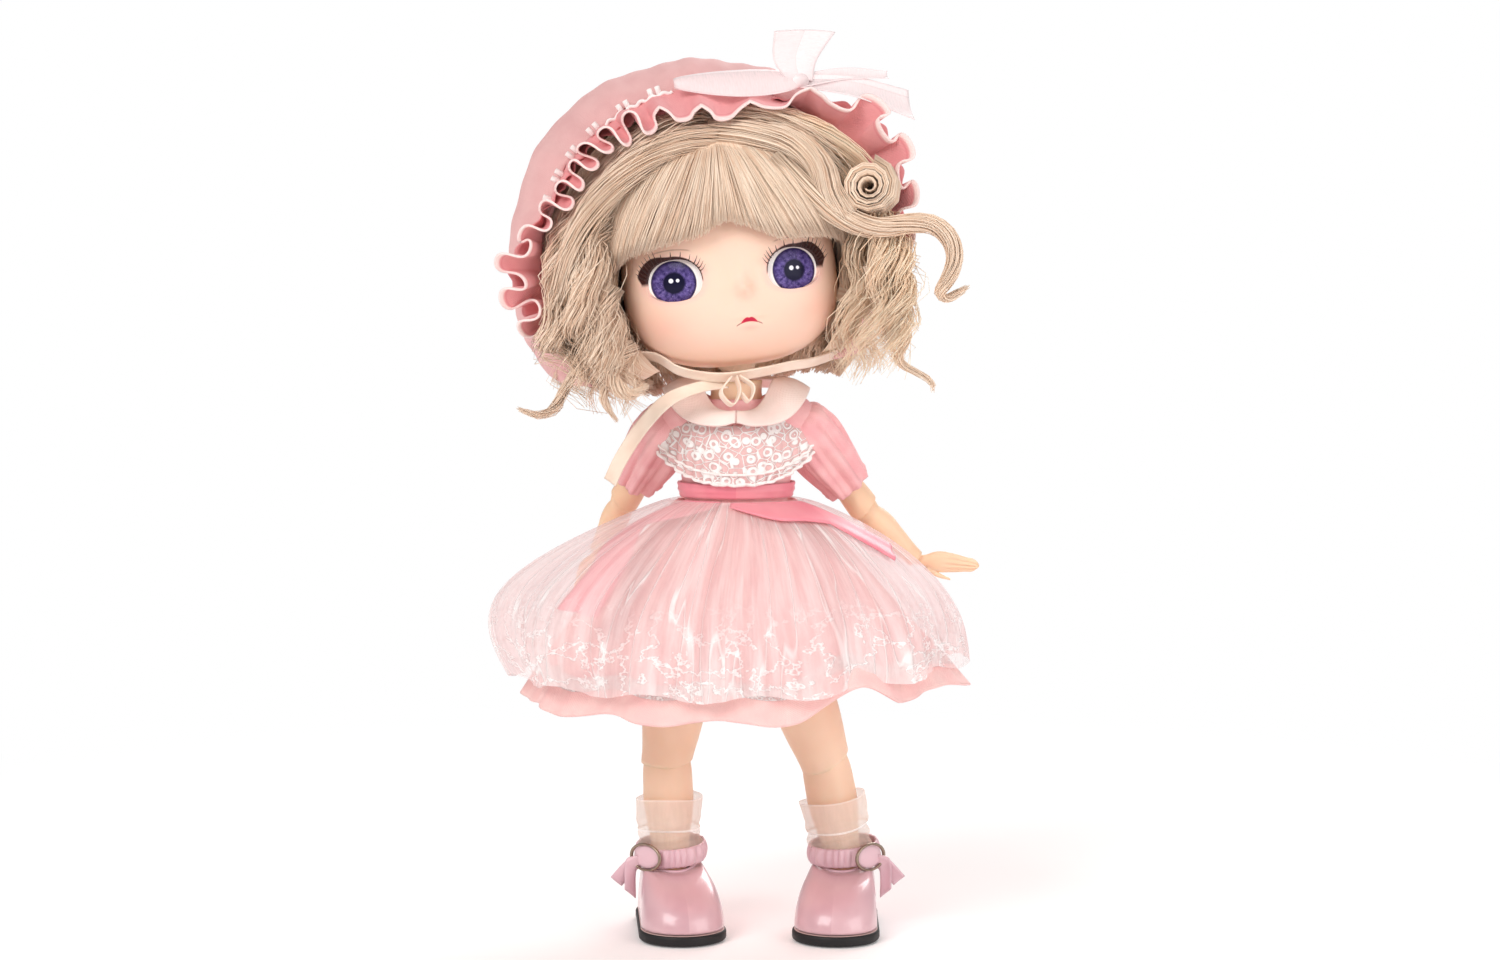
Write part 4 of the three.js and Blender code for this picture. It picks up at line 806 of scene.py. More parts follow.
for name, (side, shin_place, foot_place) in legs.items():
    def strap_surface(u, v):
        turn = FULL_TURN * u
        ruche = 0.28 * np.sin(26 * turn + 2 * np.sin(5 * turn)) * np.sin(np.pi * v) ** 0.5
        radius = STRAP_RADIUS + ruche + 0.35 * np.sin(np.pi * v)
        dip = -0.5 * np.cos(turn) + 0.4 * np.sin(turn)
        return foot_place(stack(radius * np.sin(turn), -radius * np.cos(turn),
                                STRAP_LOW + STRAP_HIGH * v + dip))
    band = thicken(laid(f"{name}_band", 200, 10, strap_surface, True, (42.0, 3.6)), 0.45)
    root = np.array([side * 6.6, -3.4, 14.4])
    tails = [
        ribbon(f"{name}_tail_{i}", foot_place, [root, root + (side * 2.4, 0.2, -1.2), root + end],
               (side * 0.74, -0.2, 0.64), 3.2, 16, 6, curl=0.25)
        for i, end in enumerate([(side * 5.4, 1.0, -4.6), (side * 2.6, 0.2, -7.2)])
    ]
    strap = joined(f"{name}_strap_satin", [band] + tails)
    dress(strap, f"{name}_foot", strap_satin, "shoe_satin", f"{name}_shoe_strap")

# %% [markdown]
# On the outer side of each strap sits an oval ring buckle of dull metal with a small satin pad in
# it. Both start as primitives at the origin, are pressed oval, and are then turned to face
# outwards and moved to the strap. Only their meshes move, so the objects stay at the origin.

# %% Ring buckles
BUCKLE_TURN, BUCKLE_REACH, BUCKLE_HEIGHT = 50, 8.1, 15.2
BUCKLE_OVAL = (1.26, 0.88)
PAD_INSET, PAD_FLAT = 0.35, 0.22


def metal(name, grain, dark, light, rough, dull):
    paint = Paint(name, Metallic=1.0)
    tarnish = paint.noise(paint.spot(), grain, 3.0)
    paint.tint(tarnish, dark, light)
    paint.put("Roughness", rough + dull * tarnish)
    return paint


buckle_metal = metal("buckle_metal", 700.0, (120, 104, 92), (186, 168, 150), 0.2, 0.3)
for name, (side, shin_place, foot_place) in legs.items():
    turn, toe = side * math.radians(BUCKLE_TURN), -side * math.radians(POSE[name]["toe"])
    outward = np.array([math.sin(turn), -math.cos(turn), 0])
    middle = Vector(foot_place(BUCKLE_REACH * outward + (0, 0, BUCKLE_HEIGHT)))
    tilt = Matrix.Rotation(toe + turn, 4, "Z") @ Matrix.Rotation(math.pi / 2, 4, "X")
    ring = added(f"{name}_ring_buckle", bpy.ops.mesh.primitive_torus_add, major_radius=3.1 * MM,
                 minor_radius=0.32 * MM, major_segments=48, minor_segments=12)
    ring.data.transform(Matrix.Diagonal((*BUCKLE_OVAL, 1, 1)))
    ring.data.transform(Matrix.Translation(middle) @ tilt)
    dress(ring, f"{name}_foot", buckle_metal, "buckle_metal", f"{name}_shoe_buckle")
    pad = added(f"{name}_buckle_pad", bpy.ops.mesh.primitive_uv_sphere_add, segments=32,
                ring_count=16, radius=2.7 * MM)
    inset = Vector(PAD_INSET * MM * (foot_place.turn @ outward))
    pad.data.transform(Matrix.Diagonal((*BUCKLE_OVAL, PAD_FLAT, 1)))
    pad.data.transform(Matrix.Translation(middle - inset) @ tilt)
    dress(pad, f"{name}_foot", strap_satin, "shoe_satin")

# %% [markdown]
# The dress is thin cotton with lace. Cotton has a weave, a cloudy tone and soft creases. Lace is a
# sheet whose Alpha is nearly closed on its flowers and loops, which come from the distances to
# scattered points and to the borders between them, and more open in the net between.

# %% Cotton and lace
def cotton(name, light, deep, threads=13.0, rough=0.82):
    paint = Paint(name, Specular_IOR_Level=0.2, Sheen_Weight=0.15)
    u, v = paint.uv()
    weave = woven(u, v, threads, threads)
    cloud = paint.noise(paint.join(u, v), 0.16, 3.0)
    crease = paint.noise(paint.join(u * 0.5, v * 0.12), 1.0, 3.0)
    paint.tint(paint.step(cloud + 0.06 * weave, 0.32, 0.72), light, deep)
    paint.put("Roughness", rough + 0.08 * weave)
    paint.bump(weave * 0.35 + crease * 3.0, 0.3, 0.00025)
    return paint


def lace(name, size, ground, back=(250, 206, 204)):
    paint = Paint(name, Specular_IOR_Level=0.2, Roughness=0.85, Sheen_Weight=0.1)
    flat = paint.join(*paint.uv())
    near = paint.cells(flat, 1 / size, loose=0.9)
    edge = paint.cells(flat, 1 / size, "DISTANCE_TO_EDGE", 0.9)
    petals = paint.step(near, 0.5, 0.44).least(paint.step(near, 0.22, 0.3))
    flower = petals.most(paint.step(near, 0.1, 0.06))
    thread = paint.noise(flat, 6.0)
    drawn = flower.most(paint.step(edge, 0.05, 0.02))
    paint.tint(drawn, back, (255, 250, 248))
    paint.put("Alpha", drawn.most(ground + 0.2 * thread).least(1.0))
    paint.bump(drawn * 2.0 + thread, 0.6, 0.0003)
    return paint


dress_cotton = cotton("dress_cotton", (248, 194, 194), (240, 172, 176))
skirt_cotton = cotton("skirt_cotton", (250, 200, 197), (244, 184, 184))
band_cotton = cotton("band_cotton", (253, 212, 207), (249, 198, 195))
cream_cotton = cotton("cream_cotton", (255, 238, 230), (252, 226, 218), 16.0)
braid_white = cotton("braid_white", (253, 246, 243), (246, 230, 228), 20.0)
bib_lace = lace("bib_lace", 2.0, 0.72)
edge_lace = lace("edge_lace", 1.5, 0.72, (253, 224, 222))
print("cotton and lace ready")

# %% [markdown]
# The bodice follows the torso a millimetre out, gathered at the waist. Two rounded yokes carry it
# over the shoulders, so that no gap opens between the collar and the sleeves.

# %% Bodice
BODICE_LOW, BODICE_TOP = 88, 110.6


def bodice_surface(u, v):
    turn, height = FULL_TURN * u, blend(BODICE_LOW, BODICE_TOP, v)
    gather = 0.12 * np.sin(46 * np.pi * u) * (1 - ease(v, 0.05, 0.35))
    points = on_torso(turn, height, 1.0 + gather)
    points[:, 0] += 3.6 * hill(height, 106.4, 2.4) * np.sin(turn) ** 3
    return figure(points)


def yoke(side):
    def surface(u, v):
        turn, rise = FULL_TURN * u, np.pi * (v - 0.5)
        return figure(stack(side * 9.5 + 7.4 * np.cos(rise) * np.sin(turn),
                            0.5 - 6.4 * np.cos(rise) * np.cos(turn), 106.0 + 6.2 * np.sin(rise)))
    return laid(f"yoke_{side}", 48, 24, surface, True, (42.0, 19.0))


bodice = thicken(laid("bodice_cotton", 96, 44, bodice_surface, True, (64.0, 22.0)), 0.5)
bodice = joined("bodice_cotton", [bodice, yoke(-1), yoke(1)])
dress(bodice, "torso", dress_cotton, "dress_cotton", "dress_bodice")

# %% [markdown]
# A flat collar in two leaves lies on the shoulders, open in front. Below it sits a lace bib, its
# outer edge drawn by two white braids, and two more braids run down beside the opening.

# %% Collar and bib
BIB_TURN = np.radians(74)
LEAF_GAP = 0.4


def collar_surface(u, v):
    turn = np.radians(blend(LEAF_GAP, 360 - LEAF_GAP, u))
    front = (1 + np.cos(turn)) / 2
    tips = 1 - 0.25 * hill(u, 0.0, 0.02) - 0.25 * hill(u, 1.0, 0.02)
    inner = stack(8.2 * np.sin(turn), -blend(7.4, 9.8, front) * np.cos(turn),
                  blend(114.6, 108.2, ease(front, 0.68, 1.0)))
    outer = stack(15.2 * np.sin(turn), -12.4 * np.cos(turn),
                  blend(112.6, 105.4, ease(front, 0.5, 1.0)))
    points = blend(inner, outer, (v * tips)[:, None])
    points[:, 2] += 0.9 * np.sin(np.pi * v)
    return figure(points)


def on_bib(u, v, grow=1.9):
    out = np.abs(2 * u - 1)
    flute = 0.35 * v * np.sin(34 * np.pi * u)
    height = blend(105.4 + 3 * out ** 2, 93.2 + 6.4 * out ** 2.6, v)
    return on_torso(blend(-BIB_TURN, BIB_TURN, u), height, grow + 0.9 * v + 3.2 * out ** 3 + flute)


collar = laid("collar_cotton", 140, 18, collar_surface, cloth=(60.0, 7.0))
dress(thicken(collar, 0.55), "torso", cream_cotton, "cream_satin", "dress_collar")
bib = laid("bib_lace", 150, 30, lambda u, v: figure(on_bib(u, v)), cloth=(26.0, 11.0))
dress(thicken(bib, 0.3), "torso", bib_lace, "lace", "lace_bib")
across = np.linspace(0.0, 1.0, 181)
braids = []
for depth, scallop, swell in ((0.98, 0.02, 0.34), (0.82, 0.0, 0.28)):
    rim = on_bib(across, depth + scallop * np.abs(np.sin(across * 9 * np.pi)), 2.3)
    braids.append(tube(f"rim_{depth}", figure, rim, swell, 8))
for x in (-4.3, -2.3):
    band = on_torso(np.full(40, math.asin(x / 10.3)), np.linspace(106.2, 99.0, 40), 1.55)
    braids.append(tube(f"band_{x}", figure, band, 0.42, 8))
dress(joined("bib_braid", braids), "torso", braid_white, "lace")

# %% [markdown]
# Puff sleeves are gathered into the shoulder and fall in long folds. The folds are ripples of the
# radius that fade out at the gathered top. Where a sleeve would reach into the torso it is pressed
# flat against an upright plane.

# %% Sleeves
SLEEVE = [(-15.8, 4.35), (-13, 4.75), (-9, 5.5), (-4, 6.0), (0.5, 5.82), (3.2, 4.8), (4.6, 2.5)]
SLEEVE_INNER = 2.2
for name, (side, upper, palm) in arms.items():
    lean = math.radians(POSE[name]["lean"])
    lean_x, lean_z = math.cos(lean), math.sin(lean)

    def sleeve_surface(u, v):
        turn = FULL_TURN * u
        height = blend(SLEEVE[0][0], SLEEVE[-1][0], v)
        fold = 0.52 * np.sin(9 * turn + 1.4 * np.sin(2 * turn) + 0.12 * height)
        fold = fold + 0.2 * np.sin(17 * turn + 2 * np.sin(3 * turn))
        fold = fold * (1 - 0.75 * ease(v, 0.6, 0.95))
        radius = smooth(SLEEVE, height) + fold + 0.25 * hill(v, 0.06, 0.03)
        x = radius * np.cos(turn)
        inner = np.maximum(-side * x * lean_x + height * lean_z - SLEEVE_INNER, 0)
        x, height = x + side * inner * lean_x, height - inner * lean_z
        return upper(stack(x, radius * np.sin(turn), height))
    sleeve = laid(f"{name}_sleeve_cotton", 144, 48, sleeve_surface, True, (36.0, 20.0))
    body = f"{name}_upper_arm"
    dress(thicken(sleeve, 0.4), body, dress_cotton, "dress_cotton", f"{name}_sleeve")

# %% [markdown]
# Each skirt is a long strip gathered to the waist: folds that are fine at the waist join into broad
# waves at the hem. Both use the same formulas as their solids, with finer folds added, so that
# they fit round the arms, which press a dent into the overskirt on each side. The overskirt is
# tulle, a net so fine that it reads as mist: its Alpha is half open, and creases where the net
# doubles are denser and whiter. The underskirt carries a hem band under a line of lace.

# %% Skirts
DENTS = (122, 231)
HEM_SIDES, TULLE_SIDES, SKIRT_ROWS = 396, 416, 70


def turn_hill(turn, middle, wide):
    return hill(turn, np.radians(middle), np.radians(wide))


def skirt_place(turn, radius, height, v):
    shift = ease(v, 0, 0.6)
    x, y = -2 * shift + radius * np.sin(turn), shift - 0.9 * radius * np.cos(turn)
    return figure(stack(x, y, height))


def on_skirt(turn, v, grow=0.0):
    side = np.sin(turn)
    fold = 1.7 * v * np.sin(11 * turn + 0.8 * np.sin(3 * turn))
    fold = fold + 0.3 * v * np.sin(37 * turn + 2 * np.sin(5 * turn))
    radius = 12 + (33 + 4 * side) * v ** 0.85 + fold + grow
    notch = 4.5 * turn_hill(turn, 33, 9)
    low = 48.5 + 4 * ease(side, 0.2, 1) + 0.7 * np.cos(11 * turn) + notch
    return skirt_place(turn, radius, blend(89.6, low, v), v)


def on_tulle(turn, v, grow=0.0, fine=0.0):
    side = np.sin(turn)
    dents = sum(turn_hill(turn, middle, 24) for middle in DENTS)
    bulge = 4.5 + 3.5 * side ** 2 + 6 * turn_hill(turn, 280, 42)
    bulge = bulge - 2.5 * ease(-np.cos(turn), 0, 1) - 6 * dents
    fold = 1.5 * v * np.cos(13 * turn + 1.1 * np.sin(2 * turn))
    fold = fold + fine * np.sin(53 * turn + 3 * np.sin(7 * turn) + 2 * v)
    radius = 13.8 + (32.7 + 2.5 * side) * v ** 0.7 + bulge * np.sin(np.pi * v) + fold + grow
    low = 53.4 + 3 * ease(side, 0.1, 1) + 0.8 * np.sin(13 * turn)
    return skirt_place(turn, radius, blend(89.8, low, v), v)


tulle = Paint("tulle", Specular_IOR_Level=0.25, Roughness=0.7, Sheen_Weight=0.3)
around, down = tulle.uv()
crinkle = tulle.noise(tulle.join(around * 0.34, down * 0.03), 1.0, 3.0, 0.55)
fibre = tulle.noise(tulle.join(around * 1.5, down * 0.06), 1.0, 2.0)
gather = tulle.noise(tulle.join(around * 0.12, down * 0.012), 1.0, 2.0)
ridge = tulle.step(abs(gather - 0.5), 0.014, 0.0)
wave = tulle.noise(tulle.join(around * 0.1, down * 0.085), 1.0, 4.0, 0.62)
low = tulle.step(down, 24.0, 46.0)
stitched = tulle.step(abs(wave - 0.5), 0.026, 0.002) * low * 0.75
net = woven(around, down, 14.0, 14.0)
mist = tulle.step(crinkle, 0.3, 0.75)
whiter = (ridge * 0.7 + mist * 0.6 + stitched).least(1.0)
denser = 0.34 + 0.24 * mist + 0.2 * ridge + 0.1 * fibre + 0.03 * net + stitched * 0.42 + low * 0.06
tulle.tint(whiter, (252, 222, 221), (255, 248, 247))
tulle.put("Alpha", denser.least(0.97))
tulle.bump(crinkle + ridge + stitched, 0.5, 0.0006)

underskirt = laid("underskirt_cotton", HEM_SIDES, SKIRT_ROWS,
                  lambda u, v: on_skirt(FULL_TURN * u, v), True, (270.0, 56.0))
dress(thicken(underskirt, 0.5), "torso", skirt_cotton, "dress_cotton", "underskirt")
overskirt = laid("overskirt_tulle", TULLE_SIDES, SKIRT_ROWS,
                 lambda u, v: on_tulle(FULL_TURN * u, v, 0.0, 0.35 * v), True, (280.0, 56.0))
dress(overskirt, "torso", tulle, "tulle", "tulle_overskirt")
trim = laid("hem_lace", HEM_SIDES, 8, lambda u, v: on_skirt(
    FULL_TURN * u, blend(0.82, 0.885, v), 0.75), True, (268.0, 5.0))
dress(trim, "torso", edge_lace, "lace")
tape = laid("hem_band", HEM_SIDES, 10, lambda u, v: on_skirt(
    FULL_TURN * u, blend(0.85, 1.0, v), 0.45), True, (268.0, 7.0))
dress(thicken(tape, 0.3), "torso", band_cotton, "dress_cotton")

# %% [markdown]
# A satin sash goes round the waist, and its two tails fall over the tulle, so they are laid on the
# same surface as the tulle, a little further out. A tail's table gives the turn round the waist in
# degrees and the share of the way down. Its width is set across its own direction, which needs
# both in millimetres, so a turn is worth about 30 mm a radian and the skirt's depth 38 mm.

# %% Sash
TURN_REACH, DROP_REACH, AHEAD = 30, 38, 0.02
TAILS = {
    "left": (1.65, [(0, -4, 0.01), (0.2, 28, 0.02), (0.4, 50, 0.045), (0.6, 55, 0.1),
                    (0.8, 60, 0.19), (1, 66, 0.3)]),
    "right": (-1.1, [(0, -14, 0.01), (0.2, -50, 0.045), (0.35, -56, 0.11), (0.6, -45, 0.3),
                     (0.8, -43, 0.44), (1, -44, 0.58)]),
}
sash_satin = satin("sash_satin", (247, 154, 166), (240, 134, 150), 0.3, 0.42)


def waist_surface(u, v):
    swell = 2.0 + 0.2 * np.sin(np.pi * v) + 0.1 * np.sin(5 * np.pi * v)
    return figure(on_torso(FULL_TURN * u, blend(90.4, 93.4, v), swell))


waist = laid("waist_satin", 120, 8, waist_surface, True, (72.0, 3.0))
dress(thicken(waist, 0.4), "torso", sash_satin, "sash_satin", "waist_sash")
for name, (grow, table) in TAILS.items():
    def tail_surface(u, v):
        along, down = (smooth(table, np.minimum(u + AHEAD, 1), column)
                       - smooth(table, np.maximum(u - AHEAD, 0), column) for column in (1, 2))
        along, down = np.radians(along) * TURN_REACH, down * DROP_REACH
        long = np.hypot(along, down)
        off = (v - 0.5) * blend(5.0, 6.0, u) * ease(u, -0.06, 0.2)
        turn = np.radians(smooth(table, u, 1)) - off * down / long / TURN_REACH
        drop = np.maximum(smooth(table, u, 2) + off * along / long / DROP_REACH, 0)
        return on_tulle(turn % FULL_TURN, drop, grow + 0.2 * np.sin(3 * np.pi * v))
    tail = laid(f"{name}_sash_satin", 70, 10, tail_surface, cloth=(34.0, 4.4))
    dress(thicken(tail, 0.35), "torso", sash_satin, "sash_satin", f"{name}_sash_tail")

# %% [markdown]
# The head is a hollow cast. Its face is a rolled sheet with a small nose, lips and cheeks pressed
# into it and cut off at the seam where the cap lifts away. For the eyes its faces are taken out and
# the holes' edges drawn onto the lids' outline, and then it gets a wall. Its UV map is the front
# view in millimetres, which makes it easy to paint.

# %% Face
HEAD_WIDE, HEAD_DEEP, HEAD_TALL, HEAD_LOW, HEAD_POWER = 22, 20.5, 27.0, 16.9, 2.5
EYES = {"right": (-12.4, 1.5), "left": (11.8, 1.5)}
EYE_HALF, EYE_TOP, EYE_BOTTOM, LID_POWER = 5.5, 4.7, 3.7, 2.3
MOUTH_X, MOUTH_Z = 1.6, -7.5
FACE_LIFT, FACE_WALL = 70, 2.4
SEAM_SPOT, SEAM_BACK, SEAM_NORMAL = np.array([0, 0, 9.0]), 0.15, np.array([0, 0.62, 0.78])
OFF_EYE, LID_REACH = 9.0, 1.6


def on_head(turn, lift, grow=0.0):
    out = stack(np.sin(turn) * np.cos(lift), -np.cos(turn) * np.cos(lift), np.sin(lift))
    x, y, z = np.abs(np.moveaxis(out, -1, 0))
    tall = np.where(out[..., 2] > 0, HEAD_TALL, HEAD_LOW)
    total = (x / HEAD_WIDE) ** HEAD_POWER + (y / HEAD_DEEP) ** HEAD_POWER
    reach = (total + (z / tall) ** HEAD_POWER) ** (-1 / HEAD_POWER)
    return out * (reach + grow)[..., None]


def face_depth(x, z):
    tall = np.where(z > 0, HEAD_TALL, HEAD_LOW)
    rest = 1 - (np.abs(x) / HEAD_WIDE) ** HEAD_POWER - (np.abs(z) / tall) ** HEAD_POWER
    return -HEAD_DEEP * np.maximum(rest, 1e-3) ** (1 / HEAD_POWER)


FACE_PUSHES = [
    (1.9, 1.2, -0.9, 1.7, 1.8), (0.5, 1.0, 1.5, 1.6, 3.5), (0.4, MOUTH_X, MOUTH_Z + 0.8, 2.0, 0.8),
    (0.4, MOUTH_X, MOUTH_Z - 1.2, 1.8, 0.8), (-0.3, MOUTH_X, MOUTH_Z, 2.6, 0.35),
    (0.5, 0.8, -12.6, 4.5, 3), (0.7, -13, -7.5, 6, 4.5), (0.7, 14.5, -7.5, 6, 4.5),
] + [(-0.5, eye_x, eye_z, 7.5, 6.2) for eye_x, eye_z in EYES.values()]


def face_surface(u, v):
    points = on_head(FULL_TURN * u, np.radians(blend(-FACE_LIFT, FACE_LIFT, v)))
    x, z = points[:, 0], points[:, 2]
    push = sum(height * bump_at(x, z, *form) for height, *form in FACE_PUSHES)
    points[:, 1] -= np.where(points[:, 1] < 0, push, 0)
    return head(points)


def spots_of(piece):
    return (numbers(piece.data.vertices, "co", 3) - head.origin) @ head.turn / MM


def front_map(piece, centre=(0.0, 0.0)):
    flat = spots_of(piece)[:, [0, 2]] - np.array(centre)
    map_corners(piece, flat[numbers(piece.data.loops, "vertex_index", kind=int)])


def lid_share(points, eye_x, eye_z):
    x, up = points[:, 0] - eye_x, points[:, 2] - eye_z
    tall = np.where(up > 0, EYE_TOP, EYE_BOTTOM)
    share = (np.abs(x) / EYE_HALF) ** LID_POWER + (np.abs(up) / tall) ** LID_POWER
    return np.where(points[:, 1] < 0, share ** (1 / LID_POWER), OFF_EYE)


face = laid("face_skin", 208, 130, face_surface, True)
with editing(face):
    bpy.ops.mesh.select_mode(type="VERT")
    bpy.ops.mesh.select_all(action="SELECT")
    bpy.ops.mesh.bisect(plane_co=head(SEAM_SPOT - SEAM_BACK * SEAM_NORMAL),
                        plane_no=head.turn @ SEAM_NORMAL, clear_outer=True)
    bpy.ops.mesh.select_all(action="DESELECT")
inside = np.min([lid_share(spots_of(face), *eye) for eye in EYES.values()], axis=0) < 1
face.data.vertices.foreach_set("select", inside)
with editing(face, None):
    bpy.ops.mesh.delete(type="VERT")
edge_uses = np.bincount(numbers(face.data.loops, "edge_index", kind=int),
                        minlength=len(face.data.edges))
rim = np.unique(numbers(face.data.edges, "vertices", 2, int)[edge_uses == 1])
spots = spots_of(face)
for eye_x, eye_z in EYES.values():
    share = lid_share(spots, eye_x, eye_z)
    lid = rim[share[rim] < LID_REACH]
    x = eye_x + (spots[lid, 0] - eye_x) / share[lid]
    z = eye_z + (spots[lid, 2] - eye_z) / share[lid]
    y = spots[lid, 1] + face_depth(x, z) - face_depth(spots[lid, 0], spots[lid, 2])
    spots[lid] = stack(x, y, z)
move_points(face, head(spots))
thicken(face, FACE_WALL, -1.0)
front_map(face)
print("face", len(face.data.polygons), "faces")

# %% [markdown]
# The face is painted in thin coats on the front view. The first coats are painted shade: the lower
# face darkens towards the chin, and the sides darken a little. Over them, as a maker does with a
# fine brush, come blush, a small bow-shaped red lip over a soft lower one, pink round the eyes, a
# dark line on the upper lid and a faint crease above it. Each coat is a mask drawn by distance and
# the colour that it puts on.

# %% Face paint
CHEEKS = (-14.5, 15.5)
face_vinyl = Paint("face_vinyl", Specular_IOR_Level=0.35, Subsurface_Weight=0.12,
                   Subsurface_Scale=0.002)
x, z = face_vinyl.uv()
cloud = face_vinyl.noise(face_vinyl.spot(), 80.0)
step = face_vinyl.step


def faded_out(square, rate):
    return (square * rate).sum_with("EXPONENT")


def glow(x0, z0, wide, tall):
    across, up = (x - x0) / wide, (z - z0) / tall
    return faded_out(across * across + up * up, -1.0)


colour = face_vinyl.mix(cloud, rgb(249, 214, 194), rgb(247, 208, 186))
# Painted shade darkens the lower face towards the chin and the sides, then blush goes on the cheeks
# and the nose.
colour = face_vinyl.coats(
    colour, (step(z, -9.0, -17.0) * 0.45, (243, 196, 166)),
    (step(abs(x), 16.0, 22.0) * 0.15, (246, 202, 176)),
    *((glow(cheek_x, -6.5, 5.5, 3.6) * 0.4, (250, 184, 166)) for cheek_x in CHEEKS),
    (glow(1.2, -1.4, 1.3, 1.0) * 0.28, (250, 196, 176)))
lip_x = (x - MOUTH_X) / 2.8
lip_z = z - MOUTH_Z + 0.9 * lip_x * lip_x
bow_x = lip_x / 0.62
bow_top = 0.85 * (1 - bow_x * bow_x).most(0.0) * (1 - 0.25 * faded_out(bow_x * bow_x, -22.0))
upper_lip = step(lip_z, -0.25, -0.05).least(step(lip_z - bow_top, 0.1, -0.1))
upper_lip = upper_lip.least(step(abs(bow_x), 1.0, 0.86))
lip_line = step(abs(lip_z + 0.05), 0.2, 0.07).least(step(abs(lip_x), 1.0, 0.85))
lower_lip = glow(MOUTH_X, MOUTH_Z - 1.2, 1.5, 0.6)
colour = face_vinyl.coats(
    colour, (lower_lip * 0.4, (246, 170, 160)), (lip_line * 0.75, (150, 62, 66)),
    (upper_lip, (206, 32, 70)))
for name, (eye_x, eye_z) in EYES.items():
    across, up = (x - eye_x) / EYE_HALF, z - eye_z
    outer = across * POSE[name]["side"]
    over = step(up, -0.4, 0.6)
    tall = EYE_BOTTOM + (EYE_TOP - EYE_BOTTOM) * over
    rim = (abs(across) ** LID_POWER + abs(up / tall) ** LID_POWER) ** (1 / LID_POWER)
    wide = 1.04 + 0.09 * step(outer, -0.9, 0.0) + 0.16 * step(outer, 0.1, 0.8) * step(up, 0.0, 2.2)
    line = step(rim - wide, 0.03, -0.03).least(over)
    arch = abs(up - 6.6 + 0.035 * (x - eye_x) * (x - eye_x))
    crease = step(arch, 0.22, 0.05).least(step(abs(across), 0.75, 0.55))
    colour = face_vinyl.coats(
        colour, (step(rim, 1.34, 1.05) * 0.5, (246, 196, 186)), (line, (58, 26, 24)),
        (crease * 0.45, (150, 104, 84)))
face_vinyl.put("Base Color", colour)
face_vinyl.put("Roughness", 0.4 + 0.15 * cloud - 0.15 * upper_lip)
face_vinyl.bump(cloud, 0.04, 0.0002)
dress(face, "head", face_vinyl, "skin_vinyl", "head_face")
sharpen(face, 35)

# %% [markdown]
# The eyes are glossy resin behind the lids: a pink white with painted shade of the upper lid across
# its top, a violet iris with glitter and a dark rim, darker towards the top, and a deep pupil with
# two painted highlights. The resin also glows faintly in its own colours, which is painted light.
# Each is a shallow dome that follows the face a little way in, and a clear coat gives it the wet
# shine.

# %% Eyes
EYE_GROW, EYE_INSET, EYE_DOME, EYE_WALL = 1.12, 1.75, 0.85, 0.5
eye_resin = Paint("eye_resin", Roughness=0.25, Specular_IOR_Level=0.12, Coat_Weight=0.06,
                  Coat_Roughness=0.05, Emission_Strength=0.12)
across, up = eye_resin.uv()
flat = eye_resin.join(across, up)
step = eye_resin.step


def away_from(x0, z0):
    return ((across - x0) * (across - x0) + (up - z0) * (up - z0)) ** 0.5


reach = (across * across + up * up) ** 0.5
fleck = step(eye_resin.cells(flat, 3.4), 0.2, 0.06)
mottle = eye_resin.noise(flat, 1.1, 4.0)
ray = eye_resin.join(up.sum_with("ARCTAN2", across) * 5.0, reach * 0.8)
iris = eye_resin.mix(step(mottle, 0.3, 0.7), rgb(46, 36, 88), rgb(102, 86, 150))
iris = eye_resin.coats(
    iris, (step(eye_resin.noise(ray, 1.0, 3.0), 0.45, 0.75) * 0.4, (134, 116, 180)),
    (fleck * 0.6, (206, 196, 236)), (step(up, 0.5, 4.5) * 0.55, (40, 28, 66)),
    (step(reach, 3.7, 4.3) * 0.75, (38, 28, 60)), (step(reach, 2.5, 1.9), (18, 16, 44)))
# The white's top carries painted shade from the upper lid.
white = eye_resin.mix(step(up, 1.5, 4.2) * 0.45, rgb(255, 250, 247), rgb(208, 170, 164))
colour = eye_resin.mix(step(reach, 4.35, 4.55), iris, white)
# Two painted highlights sit in the pupil.
colour = eye_resin.coats(colour, *(
    (step(away_from(dot_x, dot_z), size, size * 0.6), (240, 240, 250))
    for dot_x, dot_z, size in ((-0.55, 0.5, 0.55), (0.75, 0.45, 0.42))))
eye_resin.put("Base Color", colour)
# The eye glows faintly in its own colours, which is painted light.
eye_resin.put("Emission Color", colour)
for name, (eye_x, eye_z) in EYES.items():
    def eye_surface(u, v):
        turn, share = FULL_TURN * u, 1 - v
        aside, rise = (np.sign(w) * np.abs(w) ** 0.87 for w in (np.cos(turn), np.sin(turn)))
        x = eye_x + EYE_GROW * share * EYE_HALF * aside
        z = eye_z + EYE_GROW * share * rise * np.where(rise > 0, EYE_TOP, EYE_BOTTOM)
        return head(stack(x, face_depth(x, z) + EYE_INSET - EYE_DOME * (1 - share ** 2), z))
    eye = laid(f"{name}_eye_dome", 64, 26, eye_surface, True, outward=False)
    front_map(eye, (eye_x, eye_z))
    thicken(eye, EYE_WALL, -1.0)
    dress(eye, "head", eye_resin, "eye_resin", f"{name}_eye")

# %% [markdown]
# The bonnet comes before the hair, because the hair has to stay inside it. It is a round bag whose
# table gives its radius by depth, drawn in at the doll's lower left. tucked moves a point of hair
# that would come through the bonnet towards the bonnet's middle.

